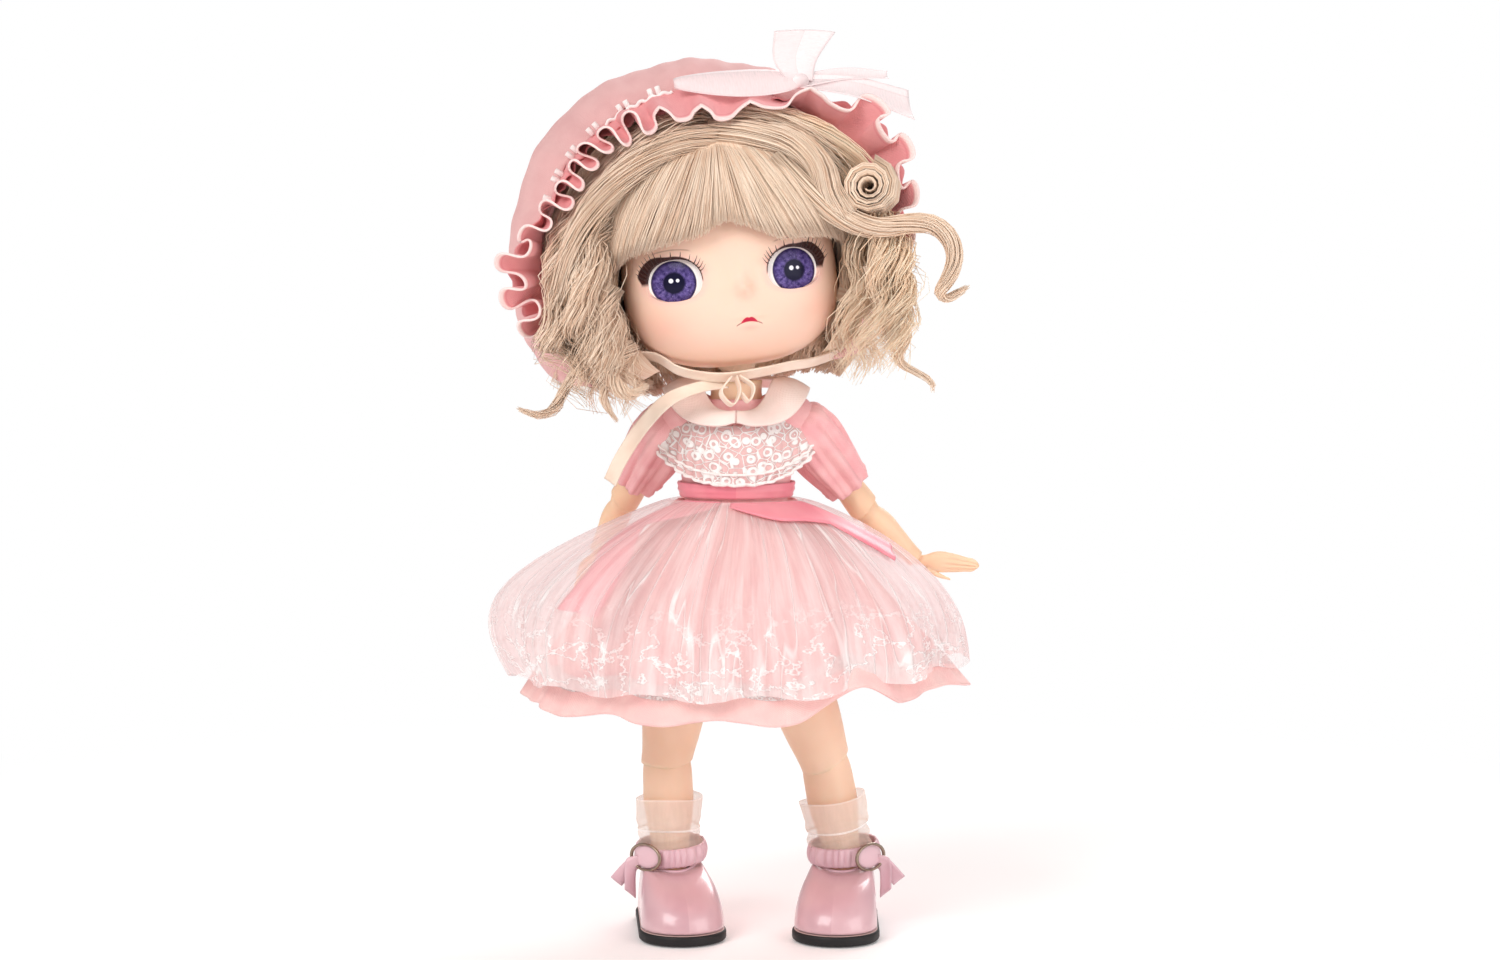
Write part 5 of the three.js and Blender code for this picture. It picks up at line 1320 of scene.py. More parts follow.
# %% The room in the bonnet
BONNET = [(-7.6, 0.862), (-6.4, 0.9), (-3.6, 0.95), (0, 0.985), (7, 1), (15, 0.95), (24, 0.76),
          (30, 0.56), (34.2, 0.24), (35, 0.001)]
BONNET_RADIUS, BONNET_X, BONNET_Z = 40.5, -3.0, 5.0
BONNET_FRONT, BONNET_LOW, BONNET_SLOPE = -7.6, -15.6, 0.25
BONNET_WALL, RUFFLE_FLARE = 2.4, 0.5
TINY = 1e-9


def drawn_in(turn):
    degrees = np.degrees(turn) % 360
    return 1 - 0.1 * ease(degrees, 62, 100) * (1 - ease(degrees, 140, 210))


def tucked(paths):
    points = np.array(paths, float)
    x, deep, z = points[..., 0] - BONNET_X, points[..., 1], points[..., 2] - BONNET_Z
    room = BONNET_RADIUS * smooth(BONNET, deep) * drawn_in(np.arctan2(x, z)) - BONNET_WALL
    room = room + RUFFLE_FLARE * np.maximum(BONNET_FRONT - deep, 0)
    above = points[..., 2] - BONNET_LOW - BONNET_SLOPE * deep
    covered = ease(deep, -15.5, -14) * ease(above, -1, 3)
    shrink = 1 + covered * (np.minimum(1, room / (np.hypot(x, z) + TINY)) - 1)
    points[..., 0] = BONNET_X + x * shrink
    points[..., 2] = BONNET_Z + z * shrink
    return points


print("bonnet room at the front", round(float(BONNET_RADIUS * BONNET[0][1]), 2), "mm")

# %% [markdown]
# Hair is drawn strand by strand. A strand is a three-sided tube along a path, thick at the root
# and fine at the tip. Hundreds are written into one mesh at a time, since no primitive gives them.
# Each strand keeps a random number in its UV map, so that no two have quite the same colour. A
# lock is a bundle of strands round one curve.

# %% Strands
STRAND_CORNERS = (0, 2.0944, 4.18879)


def mohair_paint(name, deep, light):
    paint = Paint(name, Specular_IOR_Level=0.6, Sheen_Weight=0.2)
    tone, along = paint.uv()
    mixed = paint.noise(paint.join(tone * 260.0, along * 1.6), 1.0, 2.0)
    shade = paint.noise(paint.spot(), 110.0, 2.0)
    colour = paint.mix(paint.step(mixed, 0.22, 0.66), rgb(*deep), rgb(*light))
    # The coats add random darker patches and painted shade that darkens each strand towards its
    # root.
    paint.put("Base Color", paint.coats(
        colour, (paint.step(shade, 0.55, 0.8) * 0.25, (212, 172, 138)),
        (paint.step(along, 0.1, 0.0) * 0.4, (164, 128, 98))))
    paint.put("Roughness", 0.3 + 0.18 * mixed)
    return paint


mohair = mohair_paint("mohair", (234, 194, 162), (255, 234, 212))
# The lighter copy below is painted light for the doll's left curls, which lie in the bonnet's
# shadow.
painted_light_mohair = mohair_paint("painted_light_mohair", (252, 206, 168), (255, 238, 212))


def strands(name, paths, root, tip):
    paths = head(tucked(paths))
    count, steps = paths.shape[:2]
    ahead = np.gradient(paths, axis=1)
    ahead /= np.linalg.norm(ahead, axis=2, keepdims=True) + 1e-12
    first = np.cross(ahead, np.array([0.35, -0.8, 0.49]))
    first /= np.linalg.norm(first, axis=2, keepdims=True) + 1e-12
    second = np.cross(ahead, first)
    share = np.linspace(0, 1, steps)
    radius = MM * blend(root, tip, share ** 1.5)[None, :, None]
    radius = radius * dice.uniform(0.75, 1.25, (count, 1, 1))
    corners = [paths + radius * (math.cos(a) * first + math.sin(a) * second)
               for a in STRAND_CORNERS]
    points = np.stack(corners, axis=2).reshape(-1, 3)
    start = np.arange(count)[:, None] * steps
    base = (start + np.arange(steps - 1)[None, :]).reshape(-1, 1) * 3
    quads = [np.hstack([base + i, base + (i + 1) % 3, base + 3 + (i + 1) % 3, base + 3 + i])
             for i in range(3)]
    ends = [start * 3 + np.array([[2, 1, 0]]), (start + steps - 1) * 3 + np.array([[0, 1, 2]])]
    mesh = bpy.data.meshes.new(name)
    mesh.from_pydata(points, [], [row for table in quads + ends for row in table.tolist()])
    mesh.uv_layers.new(name="UVMap")
    piece = bpy.data.objects.new(name, mesh)
    bpy.context.collection.objects.link(piece)
    corner = numbers(mesh.loops, "vertex_index", kind=int)
    tones = np.repeat(dice.uniform(0, 1, count), steps * 3)
    places = np.tile(np.repeat(share, 3), count)
    map_corners(piece, np.stack([tones[corner], places[corner]], axis=1))
    return piece


def lock(points, count, wide, steps=18, tip_share=0.25, twist=0.6, frizz=0.25, cut=0.0):
    path = curve(points, steps)
    normal, other = side_frames(path)
    each = (count, 1)
    share = np.linspace(0, 1, steps) * dice.uniform(1 - cut, 1, each)
    turn = (dice.uniform(0, FULL_TURN, each) + twist * FULL_TURN * share)[..., None]
    off = np.sqrt(dice.uniform(0, 1, each)) * wide * blend(1, tip_share, share ** 1.4)
    waves = dice.uniform(1, 2.5, each) * share + dice.uniform(0, 1, each)
    reach = (off + frizz * np.sin(FULL_TURN * waves))[..., None]
    first = np.minimum((share * (steps - 1)).astype(int), steps - 2)
    rest = (share * (steps - 1) - first)[..., None]
    path, normal, other = (table[first] * (1 - rest) + table[first + 1] * rest
                           for table in (path, normal, other))
    return path + reach * (np.cos(turn) * normal + 0.75 * np.sin(turn) * other)


def wig(name, parts, *nodes, paint=mohair):
    return dress(joined(name, parts), "head", paint, "mohair", *nodes)


print("strand tools ready")

# %% [markdown]
# The wig is combed in parts. First comes a full fringe that opens in the middle. Its strands start
# along the parting and fan out in small clumps to an edge that is set by a table of turn and lift
# in degrees. A thin sheet in the same finish closes the gaps between the strands.

# %% Fringe
FRINGE_EDGE = ([-84, -70, -55, -40, -17, -3, 8, 23, 41, 60, 80],
               [2, 9, 15.5, 18.5, 23, 29.5, 25.5, 18, 17, 14, 6])
FRINGE_COUNT, FRINGE_STEPS, FRINGE_ROOT, FRINGE_TURN = 3500, 9, 73, 66
CLUMP = 3.0
share = np.linspace(0, 1, FRINGE_STEPS)[None, :]
draw = dice.uniform(-1, 1, FRINGE_COUNT)
root_turn = 54 * np.sign(draw) * np.abs(draw) ** 1.25 - 2
clumped = blend(root_turn, np.rint(root_turn / CLUMP) * CLUMP, 0.5) * 1.1
tip_turn = clumped + 17 * np.tanh((root_turn + 2) / 10) + dice.normal(0, 1.2, FRINGE_COUNT)
edge = np.interp(tip_turn, *FRINGE_EDGE) + dice.normal(0, 0.5, FRINGE_COUNT)
edge = edge + dice.exponential(1.2, FRINGE_COUNT)
layer = dice.uniform(0, 1, FRINGE_COUNT)[:, None]
turn = blend(root_turn[:, None], tip_turn[:, None], share ** 1.9)
lift = blend(FRINGE_ROOT, edge[:, None], share ** 0.88)
fringe_paths = on_head(np.radians(turn), np.radians(lift),
                       2.7 + 3.2 * layer * np.sin(np.pi * (0.1 + 0.78 * share)))


def fringe_surface(u, v):
    turn = blend(-FRINGE_TURN, FRINGE_TURN, u)
    lift = blend(FRINGE_ROOT, np.interp(turn, *FRINGE_EDGE) + 2, v)
    return head(on_head(np.radians(turn), np.radians(lift), 2.5 + 0.7 * np.sin(np.pi * v)))


fringe_sheet = laid("fringe_sheet", 120, 24, fringe_surface, cloth=(0.6, 1.0))
fringe_strands = strands("fringe_strands", fringe_paths, 0.13, 0.05)
wig("fringe_hair", [fringe_strands, fringe_sheet], "wig_fringe")

# %% [markdown]
# Hair runs from the parting over the top and down both sides, and plain locks hang behind under
# the bonnet. Their paths are drawn here and made into meshes further down.

# %% Crown and back paths
CROWN_DRAWN, CROWN_USED, CROWN_STEPS = 2300, 1900, 12
share = np.linspace(0, 1, CROWN_STEPS)[None, :]
side_of = np.where(dice.uniform(0, 1, CROWN_DRAWN) < 0.5, -1, 1)
root_turn = side_of * dice.uniform(0, 34, CROWN_DRAWN)
root_lift = dice.uniform(72, 89, CROWN_DRAWN)
tip_turn = side_of * dice.uniform(72, 125, CROWN_DRAWN)
tip_lift = dice.uniform(8, 66, CROWN_DRAWN)
layer = dice.uniform(0, 1, CROWN_DRAWN)[:, None]
turn = blend(root_turn[:, None], tip_turn[:, None], share ** 1.3)
lift = blend(root_lift[:, None], tip_lift[:, None], share ** 1.9)
crown_paths = on_head(np.radians(turn), np.radians(lift),
                      3.6 + 7.6 * layer * np.sin(np.pi * (0.2 + 0.5 * share)))[:CROWN_USED]
back_paths = []
for middle in np.linspace(100, 260, 24):
    drift = dice.uniform(-5, 5)
    points = [on_head(np.radians(middle + drift * s), np.radians(blend(78, -45, s)),
                      4 + 4.5 * s + 1.2 * math.sin(9 * s + middle)) for s in np.linspace(0, 1, 7)]
    back_paths.append(lock(points, 70, 3.4, 12, 0.5))
print("crown", crown_paths.shape, "back", len(back_paths), "locks")

# %% [markdown]
# Between the fringe and the bonnet's edge the hair lies in a flat roll round the head, so a ring
# of strands follows the bonnet's rim. Two sheets close the gaps: a bowl under the crown hair, and
# a ring under the rim hair.

# %% Crown hair
RIM_COUNT, RIM_TURN, RIM_OUTER, RIM_INNER = 620, 114, 35.2, 26
rim_each = (RIM_COUNT, 1)


def in_bonnet(turn, reach, deep):
    return stack(BONNET_X + reach * np.sin(turn), deep, BONNET_Z + reach * np.cos(turn))


def crown_sheet_surface(u, v):
    low = blend(75, 52, ease(np.abs(2 * u - 1), 0.55, 0.66))
    return head(on_head(FULL_TURN * u, np.radians(blend(low, 89, v)), 5.0))


def rim_sheet_surface(u, v):
    turn = np.radians(blend(-RIM_TURN, RIM_TURN, u))
    return head(tucked(in_bonnet(turn, blend(RIM_OUTER, RIM_INNER, v), -5.7 - 0.6 * v)))


crown_sheet = laid("crown_sheet", 120, 20, crown_sheet_surface, True, (0.9, 0.8))
side_of = np.where(dice.uniform(0, 1, RIM_COUNT) < 0.55, -1, 1)[:, None]
rim_turn = blend(dice.uniform(-14, 30, rim_each), dice.uniform(60, 116, rim_each), share)
rim_reach = dice.uniform(27.5, 34.8, rim_each)
rim_reach = rim_reach + 0.5 * np.sin(9 * share + dice.uniform(0, 6, rim_each))
rim_deep = -6.0 - dice.uniform(0, 2.6, rim_each)
rim_paths = in_bonnet(np.radians(side_of * rim_turn), rim_reach, rim_deep)
rim_sheet = laid("rim_sheet", 120, 6, rim_sheet_surface, cloth=(0.9, 0.8))
wig("crown_hair", [
    strands("crown_strands", crown_paths, 0.12, 0.06),
    strands("rim_strands", rim_paths, 0.14, 0.08), crown_sheet, rim_sheet,
], "wig_crown")

# %% [markdown]
# At the nape short locks round off the back of the wig above the collar, longest in the middle,
# with a sheet under them.

# %% Back hair
NAPE_LOW, NAPE_RISE = -22.5, 5.0


def round_nape(turn, rise, swell=0.0):
    return stack(-2.5 + (19 + swell) * np.sin(turn), 3 + (11.5 + swell) * np.cos(turn), rise)


def nape_surface(u, v):
    low = -19.5 + NAPE_RISE * np.cos(np.pi * u) ** 2
    swell = 0.4 * np.sin(40 * u) + 0.8 * np.sin(np.pi * v) - 0.6
    return head(round_nape(np.radians(blend(-88, 88, u)), blend(-2, low, v), swell))


for turn in np.radians(np.linspace(-84, 84, 11)):
    low = NAPE_LOW + NAPE_RISE * math.sin(turn) ** 2
    rises = ((-4.0, 0.0), (-12.0, 1.2), (0.7 * low, 0.8), (low, -0.6))
    points = [round_nape(turn, rise, swell) for rise, swell in rises]
    back_paths.append(lock(points, 56, 3.2, 12, 0.8, cut=0.3))
nape = laid("nape_sheet", 60, 16, nape_surface, cloth=(0.7, 1.0))
back_strands = strands("back_strands", np.concatenate(back_paths), 0.18, 0.09)
wig("back_hair", [back_strands, nape], "wig_back")

# %% [markdown]
# On the doll's left the hair is rolled into one big barrel curl. Its strands are spirals round a
# slanted axis. Three broad locks feed the sides: one goes into the roll, one runs behind it, and
# one goes to the doll's right.

# %% Big roll and feeds
ROLL_STEPS, ROLL_COUNT, ROLL_OUTER, ROLL_INNER = 40, 370, 6.2, 1.0
ROLL_CENTRE = np.array([28.8, -17.5, 16.2])
roll_axis = unit(np.array([-0.25, -0.95, 0.18]))
roll_x = unit(np.cross(roll_axis, [0, 0, 1.0]))
roll_z = np.cross(roll_x, roll_axis)
roll_turn = (np.linspace(0, 7.2 * np.pi, ROLL_STEPS) + 1.9)[:, None]
roll_round = np.cos(roll_turn) * roll_x + np.sin(roll_turn) * roll_z
roll_inward = blend(ROLL_OUTER, ROLL_INNER, np.linspace(0, 1, ROLL_STEPS)[:, None] ** 0.9)
roll_paths = []
for i in range(ROLL_COUNT):
    reach = roll_inward * (1 - 0.24 * dice.uniform(0, 1))
    shift = dice.uniform(-4.2, 3.4) - 1.6 * (1 - reach / ROLL_OUTER)
    roll_paths.append(ROLL_CENTRE + reach * roll_round + shift * roll_axis)
to_roll = lock([(-1, -9.5, 29.8), (7, -13, 28.8), (14.5, -16, 26.4), (19, -17.6, 21.5),
                (20.6, -18.6, 15.5), (23.4, -19, 10.8)], 420, 4.4, 18, 0.75, 0.25, 0.3)
to_right = lock([(1, -9, 29.4), (-8, -12.5, 28.8), (-17, -14.2, 25.6), (-25.6, -13.4, 19),
                 (-31.8, -12, 10), (-35, -11, 0)], 420, 4.6, 18, 0.85, 0.25, 0.6)
to_left = lock([(1, -6.5, 31.5), (11, -9, 31.5), (21, -10.5, 28), (29, -11, 22), (34.2, -11, 14),
                (35.6, -10.5, 4)], 320, 4.4, 15, 0.85, 0.2, 0.5)
print("roll", len(roll_paths), "strands, feeds", len(to_roll), len(to_right), len(to_left))

# %% [markdown]
# Beside the cheeks hang many wavy locks. Each starts on the side of the head, bulges out, comes in
# again and swings in a wave that grows towards its end. A few loose strands go with each, for a
# soft outline, and a sheet behind them keeps the head from showing.

# %% Left side hair
LOCK_STEPS = 15
SWEEP = [(10, -16, 24), (17, -18, 16), (23, -19.6, 10.5), (29, -20.2, 8), (35, -20, 8.2),
         (40, -19.5, 7.6), (43.4, -19, 4.4), (44.2, -18.5, 0.2), (42.6, -17.8, -3.6),
         (40.6, -17.2, -6.2), (42, -16.8, -7.6), (44.6, -16.5, -6.6), (47, -16.3, -5.4)]
RINGLET_TOP, RINGLET_END = np.array([27.0, -16, 1]), np.array([35.5, -17, -26])


def side_locks(side, count, bulge, ends, wave, low, forward=0.0):
    paths = []
    swing = np.linspace(0, 1, LOCK_STEPS)
    for i in range(count):
        depth = dice.uniform(-16, 5) - forward
        root_turn = np.radians(side * dice.uniform(60, 104))
        root = on_head(root_turn, np.radians(dice.uniform(28, 60)), 4.5)
        spread = dice.uniform(0, 1)
        middle = np.array([side * blend(25, bulge, spread), depth, blend(5, -4, (i + 0.5) / count)])
        end_z = blend(low, low - 7, dice.uniform(0, 1)) + 3 * spread
        end = np.array([side * blend(*ends, spread), depth - 2, end_z])
        shape = curve([root, 0.5 * (root + middle) + (side * 3, -1, 1), middle,
                       0.5 * (middle + end) + (side * 1.5, 0, 0), end], LOCK_STEPS)
        phase = 19 * swing + dice.uniform(0, FULL_TURN)
        shape[:, 0] += wave * swing * np.sin(phase)
        shape[:, 1] += wave * swing * np.cos(phase)
        paths.append(lock(shape, 68, dice.uniform(2.2, 3.6), LOCK_STEPS, 0.45, 0.5, 0.9, 0.3))
        paths.append(lock(shape, 6, 5.0, LOCK_STEPS, 1.1, 1.2, 1.6, 0.4))
    return paths


def side_sheet(name, side, deep):
    def surface(u, v):
        puff = (1.2 + deep * np.sin(np.pi * (0.1 + 0.8 * v))) * ease(u, 0, 0.4)
        return head(on_head(side * np.radians(blend(68, 116, u)), np.radians(blend(60, -42, v)),
                            2.8 + puff + 0.4 * np.sin(20 * v + 9 * u)))
    return laid(name, 60, 60, surface, True, (0.5, 1.0))


share = np.linspace(0, 1, 24)[:, None]
turn = FULL_TURN * 2.4 * share
ringlet = blend(RINGLET_TOP, RINGLET_END, share)
coil = np.hstack([np.sin(turn), 0.6 * np.cos(turn), 0 * turn])
ringlet = ringlet + 2.3 * ease(share, 0.3, 0.7) * coil
left_paths = np.concatenate(side_locks(1, 20, 36, (17, 30), 3.0, -17.5, 4.5) + [to_left])
# These curls take the lighter copy of the mohair, painted light against the bonnet's shadow.
wig("left_curls_hair", [
    strands("left_locks", left_paths, 0.12, 0.05), side_sheet("left_sheet", 1, 3.0),
], "wig_left_curls", paint=painted_light_mohair)
long_paths = np.concatenate([lock(SWEEP, 230, 3.0, 30, 0.14, 0.8, 0.4, 0.3),
                             lock(ringlet, 80, 2.0, 30, 0.2, 0.5, 0.2, 0.15)])
wig("left_roll_hair", [
    strands("left_roll", np.array(roll_paths), 0.16, 0.11),
    strands("left_long", long_paths, 0.13, 0.07), strands("left_feed", to_roll, 0.13, 0.09),
])

# %% [markdown]
# The doll's right side is fuller and has three single curls: a hooked lock that stands off, a
# small curl at the cheek and one that droops. Its locks are shared out over two meshes, so that
# neither grows too large.

# %% Right side hair
HOOK = [(-30, -10, -3), (-34, -10.5, -9), (-38.5, -11, -14), (-37.5, -11, -19.5), (-41.5, -11, -22),
        (-46.5, -11, -20)]
SMALL_CURL = [(-22, -12, -10), (-27, -16, -15), (-24, -18, -19.5), (-19.5, -17, -18)]
DROOP = [(-24, -14, 2), (-28, -15, -6), (-25, -15.5, -13), (-29, -15, -19), (-26.5, -14, -25)]
right_locks = side_locks(-1, 40, 41, (21, 35), 3.4, -18)
half = len(right_locks) // 2
right_single = [lock(path, 110, wide, LOCK_STEPS, 0.15, 1.2, 0.3, 0.12)
                for path, wide in ((HOOK, 2.6), (SMALL_CURL, 2.4), (DROOP, 2.4))]
wig("right_curls_hair", [
    strands("right_locks", np.concatenate(right_locks[:half] + right_single), 0.12, 0.05),
    side_sheet("right_sheet", -1, 6.0),
], "wig_right_curls")
wig("right_inner_hair", [
    strands("right_under", np.concatenate(right_locks[half:]), 0.12, 0.05),
    strands("right_top", to_right, 0.13, 0.08),
])

# %% [markdown]
# The bonnet is a round of cotton gathered into a seam at the front and cut away over the neck. Its
# gathers are ripples of the radius that fade out towards the back, and it puffs out most above the
# doll's right ear.

# %% Bonnet crown
NECK_CUT = [0, 0.2425, -0.9701]
PUFF_TURN, PUFF_WIDE, PUFF_HIGH = -0.73, 0.56, 3.2
bonnet_cotton = cotton("bonnet_cotton", (230, 181, 179), (224, 171, 170), 11.0)


def bonnet_point(turn, radius, depth):
    return head(in_bonnet(turn, radius * drawn_in(turn), depth))


def crown_surface(u, v):
    turn = FULL_TURN * u
    depth = blend(BONNET_FRONT, BONNET[-1][0], np.sin(v * np.pi / 2) ** 1.15)
    front = 1 - ease(depth, -5, 17)
    fine = 0.006 * np.cos(41 * turn + 2 * np.sin(3 * turn))
    behind = 0.02 * np.cos(19 * turn) * ease(depth, 24, 33) * smooth(BONNET, depth)
    gather = (0.014 * np.cos(14 * turn) + fine) * front + behind
    slump = 0.02 * np.sin(3 * turn + 1) * np.sin(np.pi * v)
    puff = PUFF_HIGH * hill((turn + np.pi) % FULL_TURN - np.pi, PUFF_TURN, PUFF_WIDE)
    puff = puff * np.sin(np.pi * ease(depth, -9, 35))
    radius = BONNET_RADIUS * (smooth(BONNET, depth) + gather + slump) + puff
    return bonnet_point(turn, np.maximum(radius, 0.02), depth)


crown = laid("bonnet_crown_cotton", 294, 70, crown_surface, True, (250.0, 60.0))
with editing(crown):
    bpy.ops.mesh.bisect(plane_co=head([0, 0, BONNET_LOW]), plane_no=head.turn @ NECK_CUT,
                        clear_outer=True)
dress(thicken(crown, 0.6), "head", bonnet_cotton, "bonnet_cotton", "bonnet_crown")

# %% [markdown]
# In front of the gathers stands a pleated ruffle with a pale turned hem. Its pleats are loops: the
# edge swings sideways as well as in and out. Tables give the ruffle's outer edge and the width of
# a loop by the turn round the face, and each loop has its own height and lean. A smooth facing
# behind the ruffle fills the gaps between the loops.

# %% Bonnet ruffle
RUFFLE_TURN, RUFFLE_SEAM, RUFFLE_TOP, RUFFLE_LOOPS = 106, 0.872, 12, 40
RUFFLE_EDGE = [(-106, 0.97), (-96, 1.0), (-87, 1.04), (-74, 0.92), (-62, 0.82), (-43, 0.8),
               (-26, 0.75), (-9, 0.715), (12, 0.7), (33, 0.88), (47, 1.03), (56, 1.09), (64, 1.08),
               (74, 1.055), (86, 1.02), (106, 0.98)]
LOOP_WIDTH = [(-106, 10), (-70, 8.6), (-30, 9), (-12, 14), (40, 17), (55, 14), (106, 12)]
ruffle_cotton = Paint("ruffle_cotton", Specular_IOR_Level=0.2, Sheen_Weight=0.15)
around, out = ruffle_cotton.uv()
weave = woven(around, out, 11.0, 11.0)
hem = ruffle_cotton.step(out, 9.7, 10.3)
seamed = ruffle_cotton.step(abs(out - 9.4), 0.25, 0.1)
cloud = ruffle_cotton.noise(ruffle_cotton.join(around, out), 0.3)
tint = ruffle_cotton.mix(cloud, rgb(240, 170, 170), rgb(230, 148, 152))
ruffle_cotton.put("Base Color", ruffle_cotton.coats(
    tint, (seamed * 0.5, (222, 132, 138)), (hem, (254, 226, 222))))
ruffle_cotton.put("Roughness", 0.82 + 0.08 * weave)
ruffle_cotton.bump(weave * 0.4 + hem, 0.3, 0.0003)
loop_tables = [dice.uniform(0.7, 1.25, RUFFLE_LOOPS), dice.uniform(-1, 1, RUFFLE_LOOPS)]
fine_turn = np.linspace(-RUFFLE_TURN, RUFFLE_TURN, 2001)
loop_steps = FULL_TURN * np.diff(fine_turn) / smooth(LOOP_WIDTH, fine_turn[1:])
loop_phase = np.concatenate([[0], np.cumsum(loop_steps)])


def ruffle_surface(u, v):
    degrees = blend(-RUFFLE_TURN, RUFFLE_TURN, u)
    turn = np.radians(degrees)
    flare = ease(np.abs(turn), np.radians(15), np.radians(75))
    edge = smooth(RUFFLE_EDGE, degrees) + 0.03 * (1 - flare)
    phase = np.interp(degrees, fine_turn, loop_phase)
    wide = np.radians(smooth(LOOP_WIDTH, degrees)) / FULL_TURN
    top = 1 - ease(np.abs(degrees - RUFFLE_TOP), 20, 42)
    high, lean = (np.interp(phase / FULL_TURN, np.arange(RUFFLE_LOOPS), table)
                  for table in loop_tables)
    swing = v ** 0.8 * high * blend(2.8, 1.8, top)
    scallop = 1 - 2 * np.abs(np.sin(phase / 2 - np.pi / 4)) ** 0.8
    radius = BONNET_RADIUS * blend(RUFFLE_SEAM, edge, v)
    radius = radius + swing * blend(np.sin(phase), scallop, 0.75 * top)
    looped = v ** 0.8 * wide * blend(0.82, 0.25, top) * np.sin(2 * phase)
    turn = turn - looped + 0.4 * lean * swing * np.sin(phase) / radius
    depth = -7.4 - 9.4 * blend(0.98, 0.8, flare) * v + 0.6 * swing * np.cos(phase)
    return bonnet_point(turn, radius, depth)


def facing_surface(u, v):
    degrees = blend(-100, 100, u)
    radius = BONNET_RADIUS * blend(RUFFLE_SEAM, smooth(RUFFLE_EDGE, degrees) + 0.03, 0.8 * v)
    radius = radius + 0.4 * np.sin(degrees) * v
    return bonnet_point(np.radians(degrees), radius, -7.3 - 3.6 * v)


ruffle = laid("ruffle_cotton", 720, 20, ruffle_surface, cloth=(240.0, 11.0))
dress(thicken(ruffle, 0.45), "head", ruffle_cotton, "bonnet_cotton", "bonnet_ruffle")
facing = laid("ruffle_facing", 300, 6, facing_surface, cloth=(240.0, 5.0))
dress(thicken(facing, 0.3), "head", ruffle_cotton, "bonnet_cotton")

# %% [markdown]
# A row of small lace tabs peeps out in pairs along the gathers, and a white braid covers part of
# the seam. The tabs are short hollow ribbons that point away from the bonnet's middle.

# %% Lace tabs
TAB_PAIRS, TAB_GAP = (-66, -57, -48, -38, -26, -15), 2.6
tabs = []
for degrees in [first + gap for first in TAB_PAIRS for gap in (0, TAB_GAP)]:
    turn = math.radians(degrees)
    base = in_bonnet(turn, BONNET_RADIUS * RUFFLE_SEAM, -8.0)
    out = np.array([math.sin(turn), -0.3, math.cos(turn)])
    points = [base, base + out * 0.9, base + out * 1.7 + (0, 0.4, 0)]
    sideways = (math.cos(turn), 0.2, -math.sin(turn))
    tabs.append(ribbon(f"tab_{degrees:.1f}", head, points, sideways, 0.95, 8, 4, curl=0.25))
turn = np.radians(np.linspace(-34, -8, 81))
seam_path = in_bonnet(turn, BONNET_RADIUS * 0.868 + 0.25 * np.sin(90 * turn), -8.3)
tabs.append(tube("seam_braid", head, seam_path, 0.4, 8))
dress(joined("bonnet_lace_tabs", tabs), "head", braid_white, "lace")

# %% [markdown]
# A bow of sheer organza stands on the crown: two wings, a low one and an upright tail, each a
# ribbon of changing width that starts at the knot. Organza is half open, with fine fibres and a
# denser woven edge.

# %% Organza bow
KNOT = np.array([17.5, -12.5, 39.0])
KNOT_RADIUS, KNOT_FORM = 1.9, (1, 0.8, 0.9, 1)
LEANING = (0, 0.6, 0.8)
organza = Paint("organza", Specular_IOR_Level=0.4, Roughness=0.45, Sheen_Weight=0.3)
across, down = organza.uv()
fibre = organza.noise(organza.join(across * 0.5, down * 2.4), 1.0, 3.0)
selvedge = organza.step(abs(across - 3.25), 2.9, 3.15)
organza.tint(fibre, (255, 248, 247), (246, 222, 224))
organza.put("Alpha", (0.5 + 0.35 * fibre + 0.3 * selvedge).least(0.97))
organza.bump(fibre, 0.3, 0.0004)
WINGS = {
    "bow_left": ([(5, -12.4, 39.8), (-7.5, -10, 41.2)], LEANING,
                 lambda t: 2.4 + 4.6 * np.sin(np.pi * np.clip(t, 0, 1) ** 0.8) ** 0.7, 40, 0.8),
    "bow_right": ([(27, -11.4, 39.6), (36, -9.0, 38.6)], LEANING,
                  lambda t: blend(3.4, 2.0, t ** 2), 40, 0.6),
    "bow_low": ([(28, -13.2, 36.8), (40, -10, 32)], LEANING, lambda t: blend(3.2, 7.8, t), 40, 0.7),
    "bow_tail": ([(17.2, -11.8, 43.4), (20, -9.5, 48.9)], (1, 0.15, -0.1),
                 lambda t: blend(5.4, 12.8, t), 30, 0.9),
}
wings = [ribbon(name, head, [KNOT] + points, sideways, width, rows, 16, 0.2, curl)
         for name, (points, sideways, width, rows, curl) in WINGS.items()]
knot_ball = added("knot_ball", bpy.ops.mesh.primitive_uv_sphere_add, segments=24, ring_count=14,
                  radius=KNOT_RADIUS * MM)
knot_ball.data.transform(Matrix.Translation(Vector(head(KNOT))) @ Matrix.Diagonal(KNOT_FORM))
dress(joined("bonnet_bow_organza", wings + [knot_ball]), "head", organza, "organza", "bonnet_bow")

# %% [markdown]
# A cream ribbon goes under the chin from one side of the bonnet to the other, with two small loops
# tied in it. Its loose tail lies on the shoulder and the dress. The tail is laid in the torso's
# frame and attached to no body.

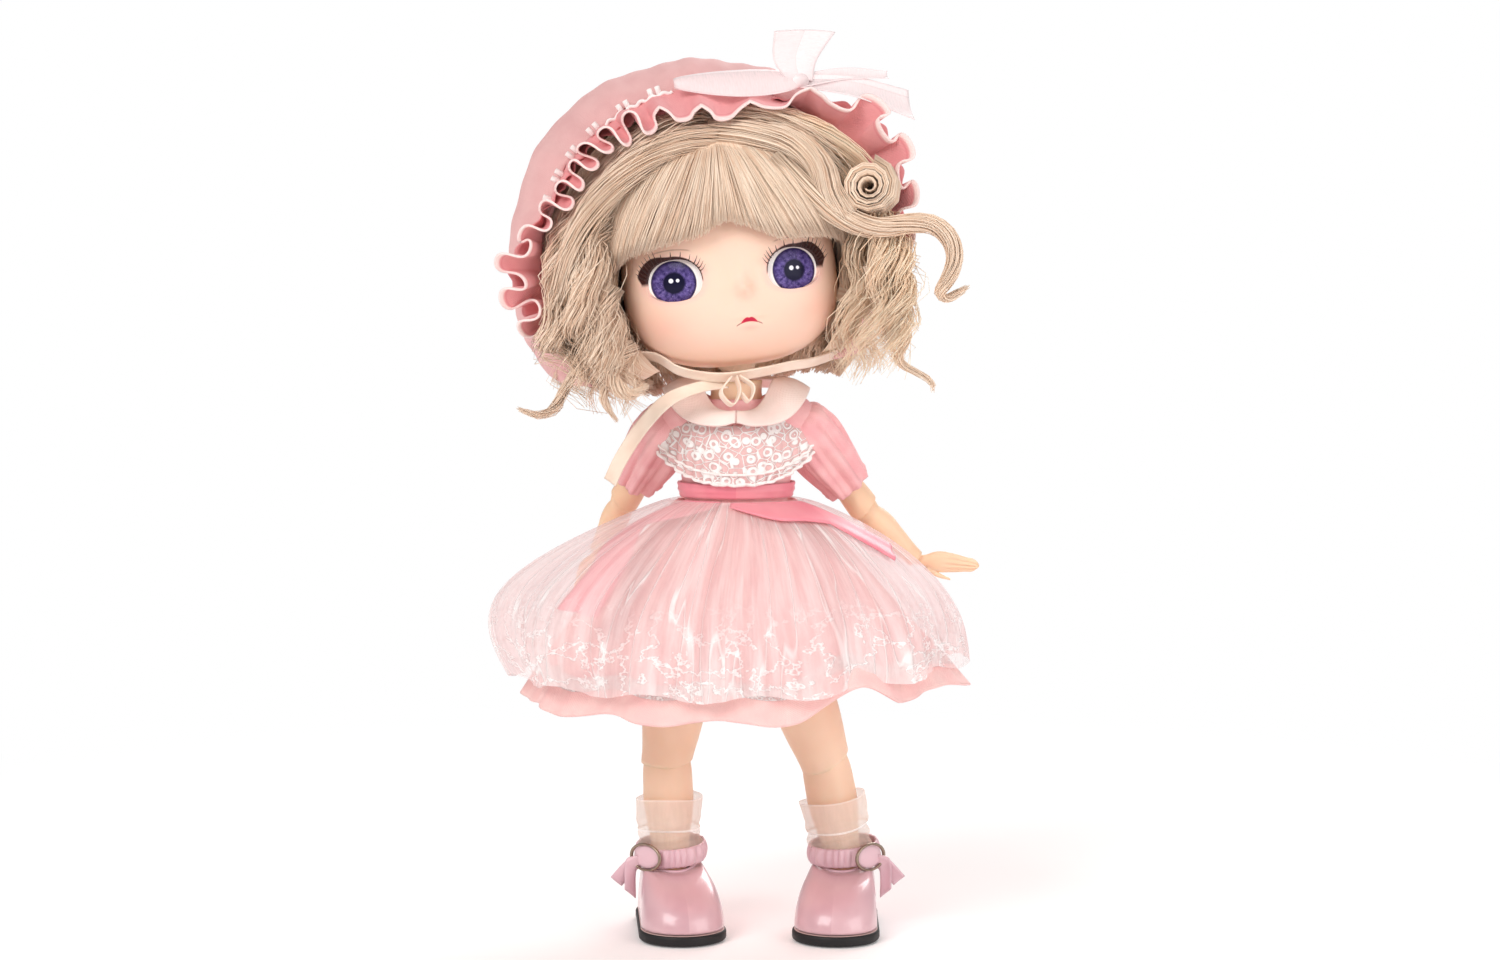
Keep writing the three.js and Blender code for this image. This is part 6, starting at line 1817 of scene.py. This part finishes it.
# %% Chin ribbon
CHIN = [(-31, -6, -14.5), (-24, -6, -12.6), (-17.5, -7, -13), (-13, -9.5, -16.2),
        (-8, -10.8, -17.9), (-3, -11.2, -18.6), (4, -11, -18.3), (9.5, -10, -17.8),
        (14.5, -8, -17.6), (20, -3, -16.6), (26, 0.5, -14.5)]
CHIN_LOOPS = {
    "chin_loop_a": [(-2.8, -12.4, -18.6), (-5.2, -13.2, -21.4), (-3.2, -13.4, -24.2),
                    (-1.4, -13, -21.6), (-1.8, -12.4, -18.6)],
    "chin_loop_b": [(-1.2, -12.4, -18.6), (1.4, -13.2, -21), (0.2, -13.6, -23.8),
                    (-1.2, -13.2, -22)],
}
LOOSE_TAIL = [(-2.6, -13, 114.2), (-7.7, -14, 113.4), (-13.6, -14, 111), (-18.8, -13.6, 105.8),
              (-23.2, -12.4, 99.2), (-25.8, -10.6, 93.9)]
cream_satin = satin("cream_satin", (248, 230, 212), (238, 212, 192), 0.3, 0.45)
chin = [ribbon("chin_strap", head, CHIN, (0, -0.8, 0.6), 3.0, 90, 8, 0.35, 0.2)]
chin += [ribbon(name, head, points, (0.3, -0.9, 0.3), 1.8, 40, 6, 0.3)
         for name, points in CHIN_LOOPS.items()]
dress(joined("chin_ribbon_satin", chin), "head", cream_satin, "cream_satin", "chin_ribbon")
tail = ribbon("ribbon_tail_satin", figure, LOOSE_TAIL, (0.78, -0.3, -0.55), 3.0, 60, 8, 0.3, 0.25)
dress(tail, None, cream_satin, "cream_satin", "bonnet_ribbon_tail")
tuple(figure([-15, -14, 110]))
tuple(figure([-4, -13, 114]))
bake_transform(tail)

# %% [markdown]
# Fine tapered hairs make the lashes. They stand on the upper lid, longest at its outer corner, and
# fan out at both ends.

# %% Lashes
LASH_ANGLES = [(14, 60, 7), (70, 124, 4), (136, 158, 4)]
LASH_LENGTHS = (2.1, 0.8, 1.4)
lash_fibre = Paint("lash_fibre", Roughness=0.6)
lash_fibre.tint(lash_fibre.uv()[0], (40, 20, 18), (70, 40, 34))
for name, (eye_x, eye_z) in EYES.items():
    side = POSE[name]["side"]
    paths = []
    for angles, long in zip(LASH_ANGLES, LASH_LENGTHS):
        for angle in np.radians(np.linspace(*angles)):
            x = eye_x + side * EYE_HALF * 1.03 * math.cos(angle)
            z = eye_z + EYE_TOP * 1.05 * math.sin(angle)
            out = np.array([side * math.cos(angle) * 0.9, 0, math.sin(angle) * 0.8 + 0.3])
            base = np.array([x, float(face_depth(np.array(x), np.array(z))) - 0.2, z])
            paths.append(curve([base, base + out * long * 0.5 + (0, -0.8, 0.05),
                                base + out * long + (0, -1.0, 0.5)], 8))
    lashes = strands(f"{name}_lash_hairs", np.array(paths), 0.16, 0.02)
    dress(lashes, "head", lash_fibre, "lash_fibre", f"{name}_eyelash")

# %% [markdown]
# What stays of the CAD model is hidden or plain: the inner joints, the head cap, the magnets and
# the wig's cap. They keep their shapes and get the same finishes as their neighbours.

# %% Carried-over nodes and the end
magnet_metal = metal("magnet_metal", 900.0, (176, 176, 180), (206, 206, 210), 0.25, 0.2)
kept = {"neck_base": joint_skin, "neck_peg": joint_skin, "head_cap": skin, "wig_cap": mohair}
for name in POSE:
    kept.update({f"{name}_{node}": joint_skin for node in ("shoulder_joint", "hip_joint")})
    kept.update({f"{name}_{node}": magnet_metal for node in ("face_magnet", "cap_magnet")})
for node, paint in kept.items():
    mesh = frame["nodes"][node].data
    mesh.materials.clear()
    mesh.materials.append(paint.material)
print("carried over", sorted(kept))
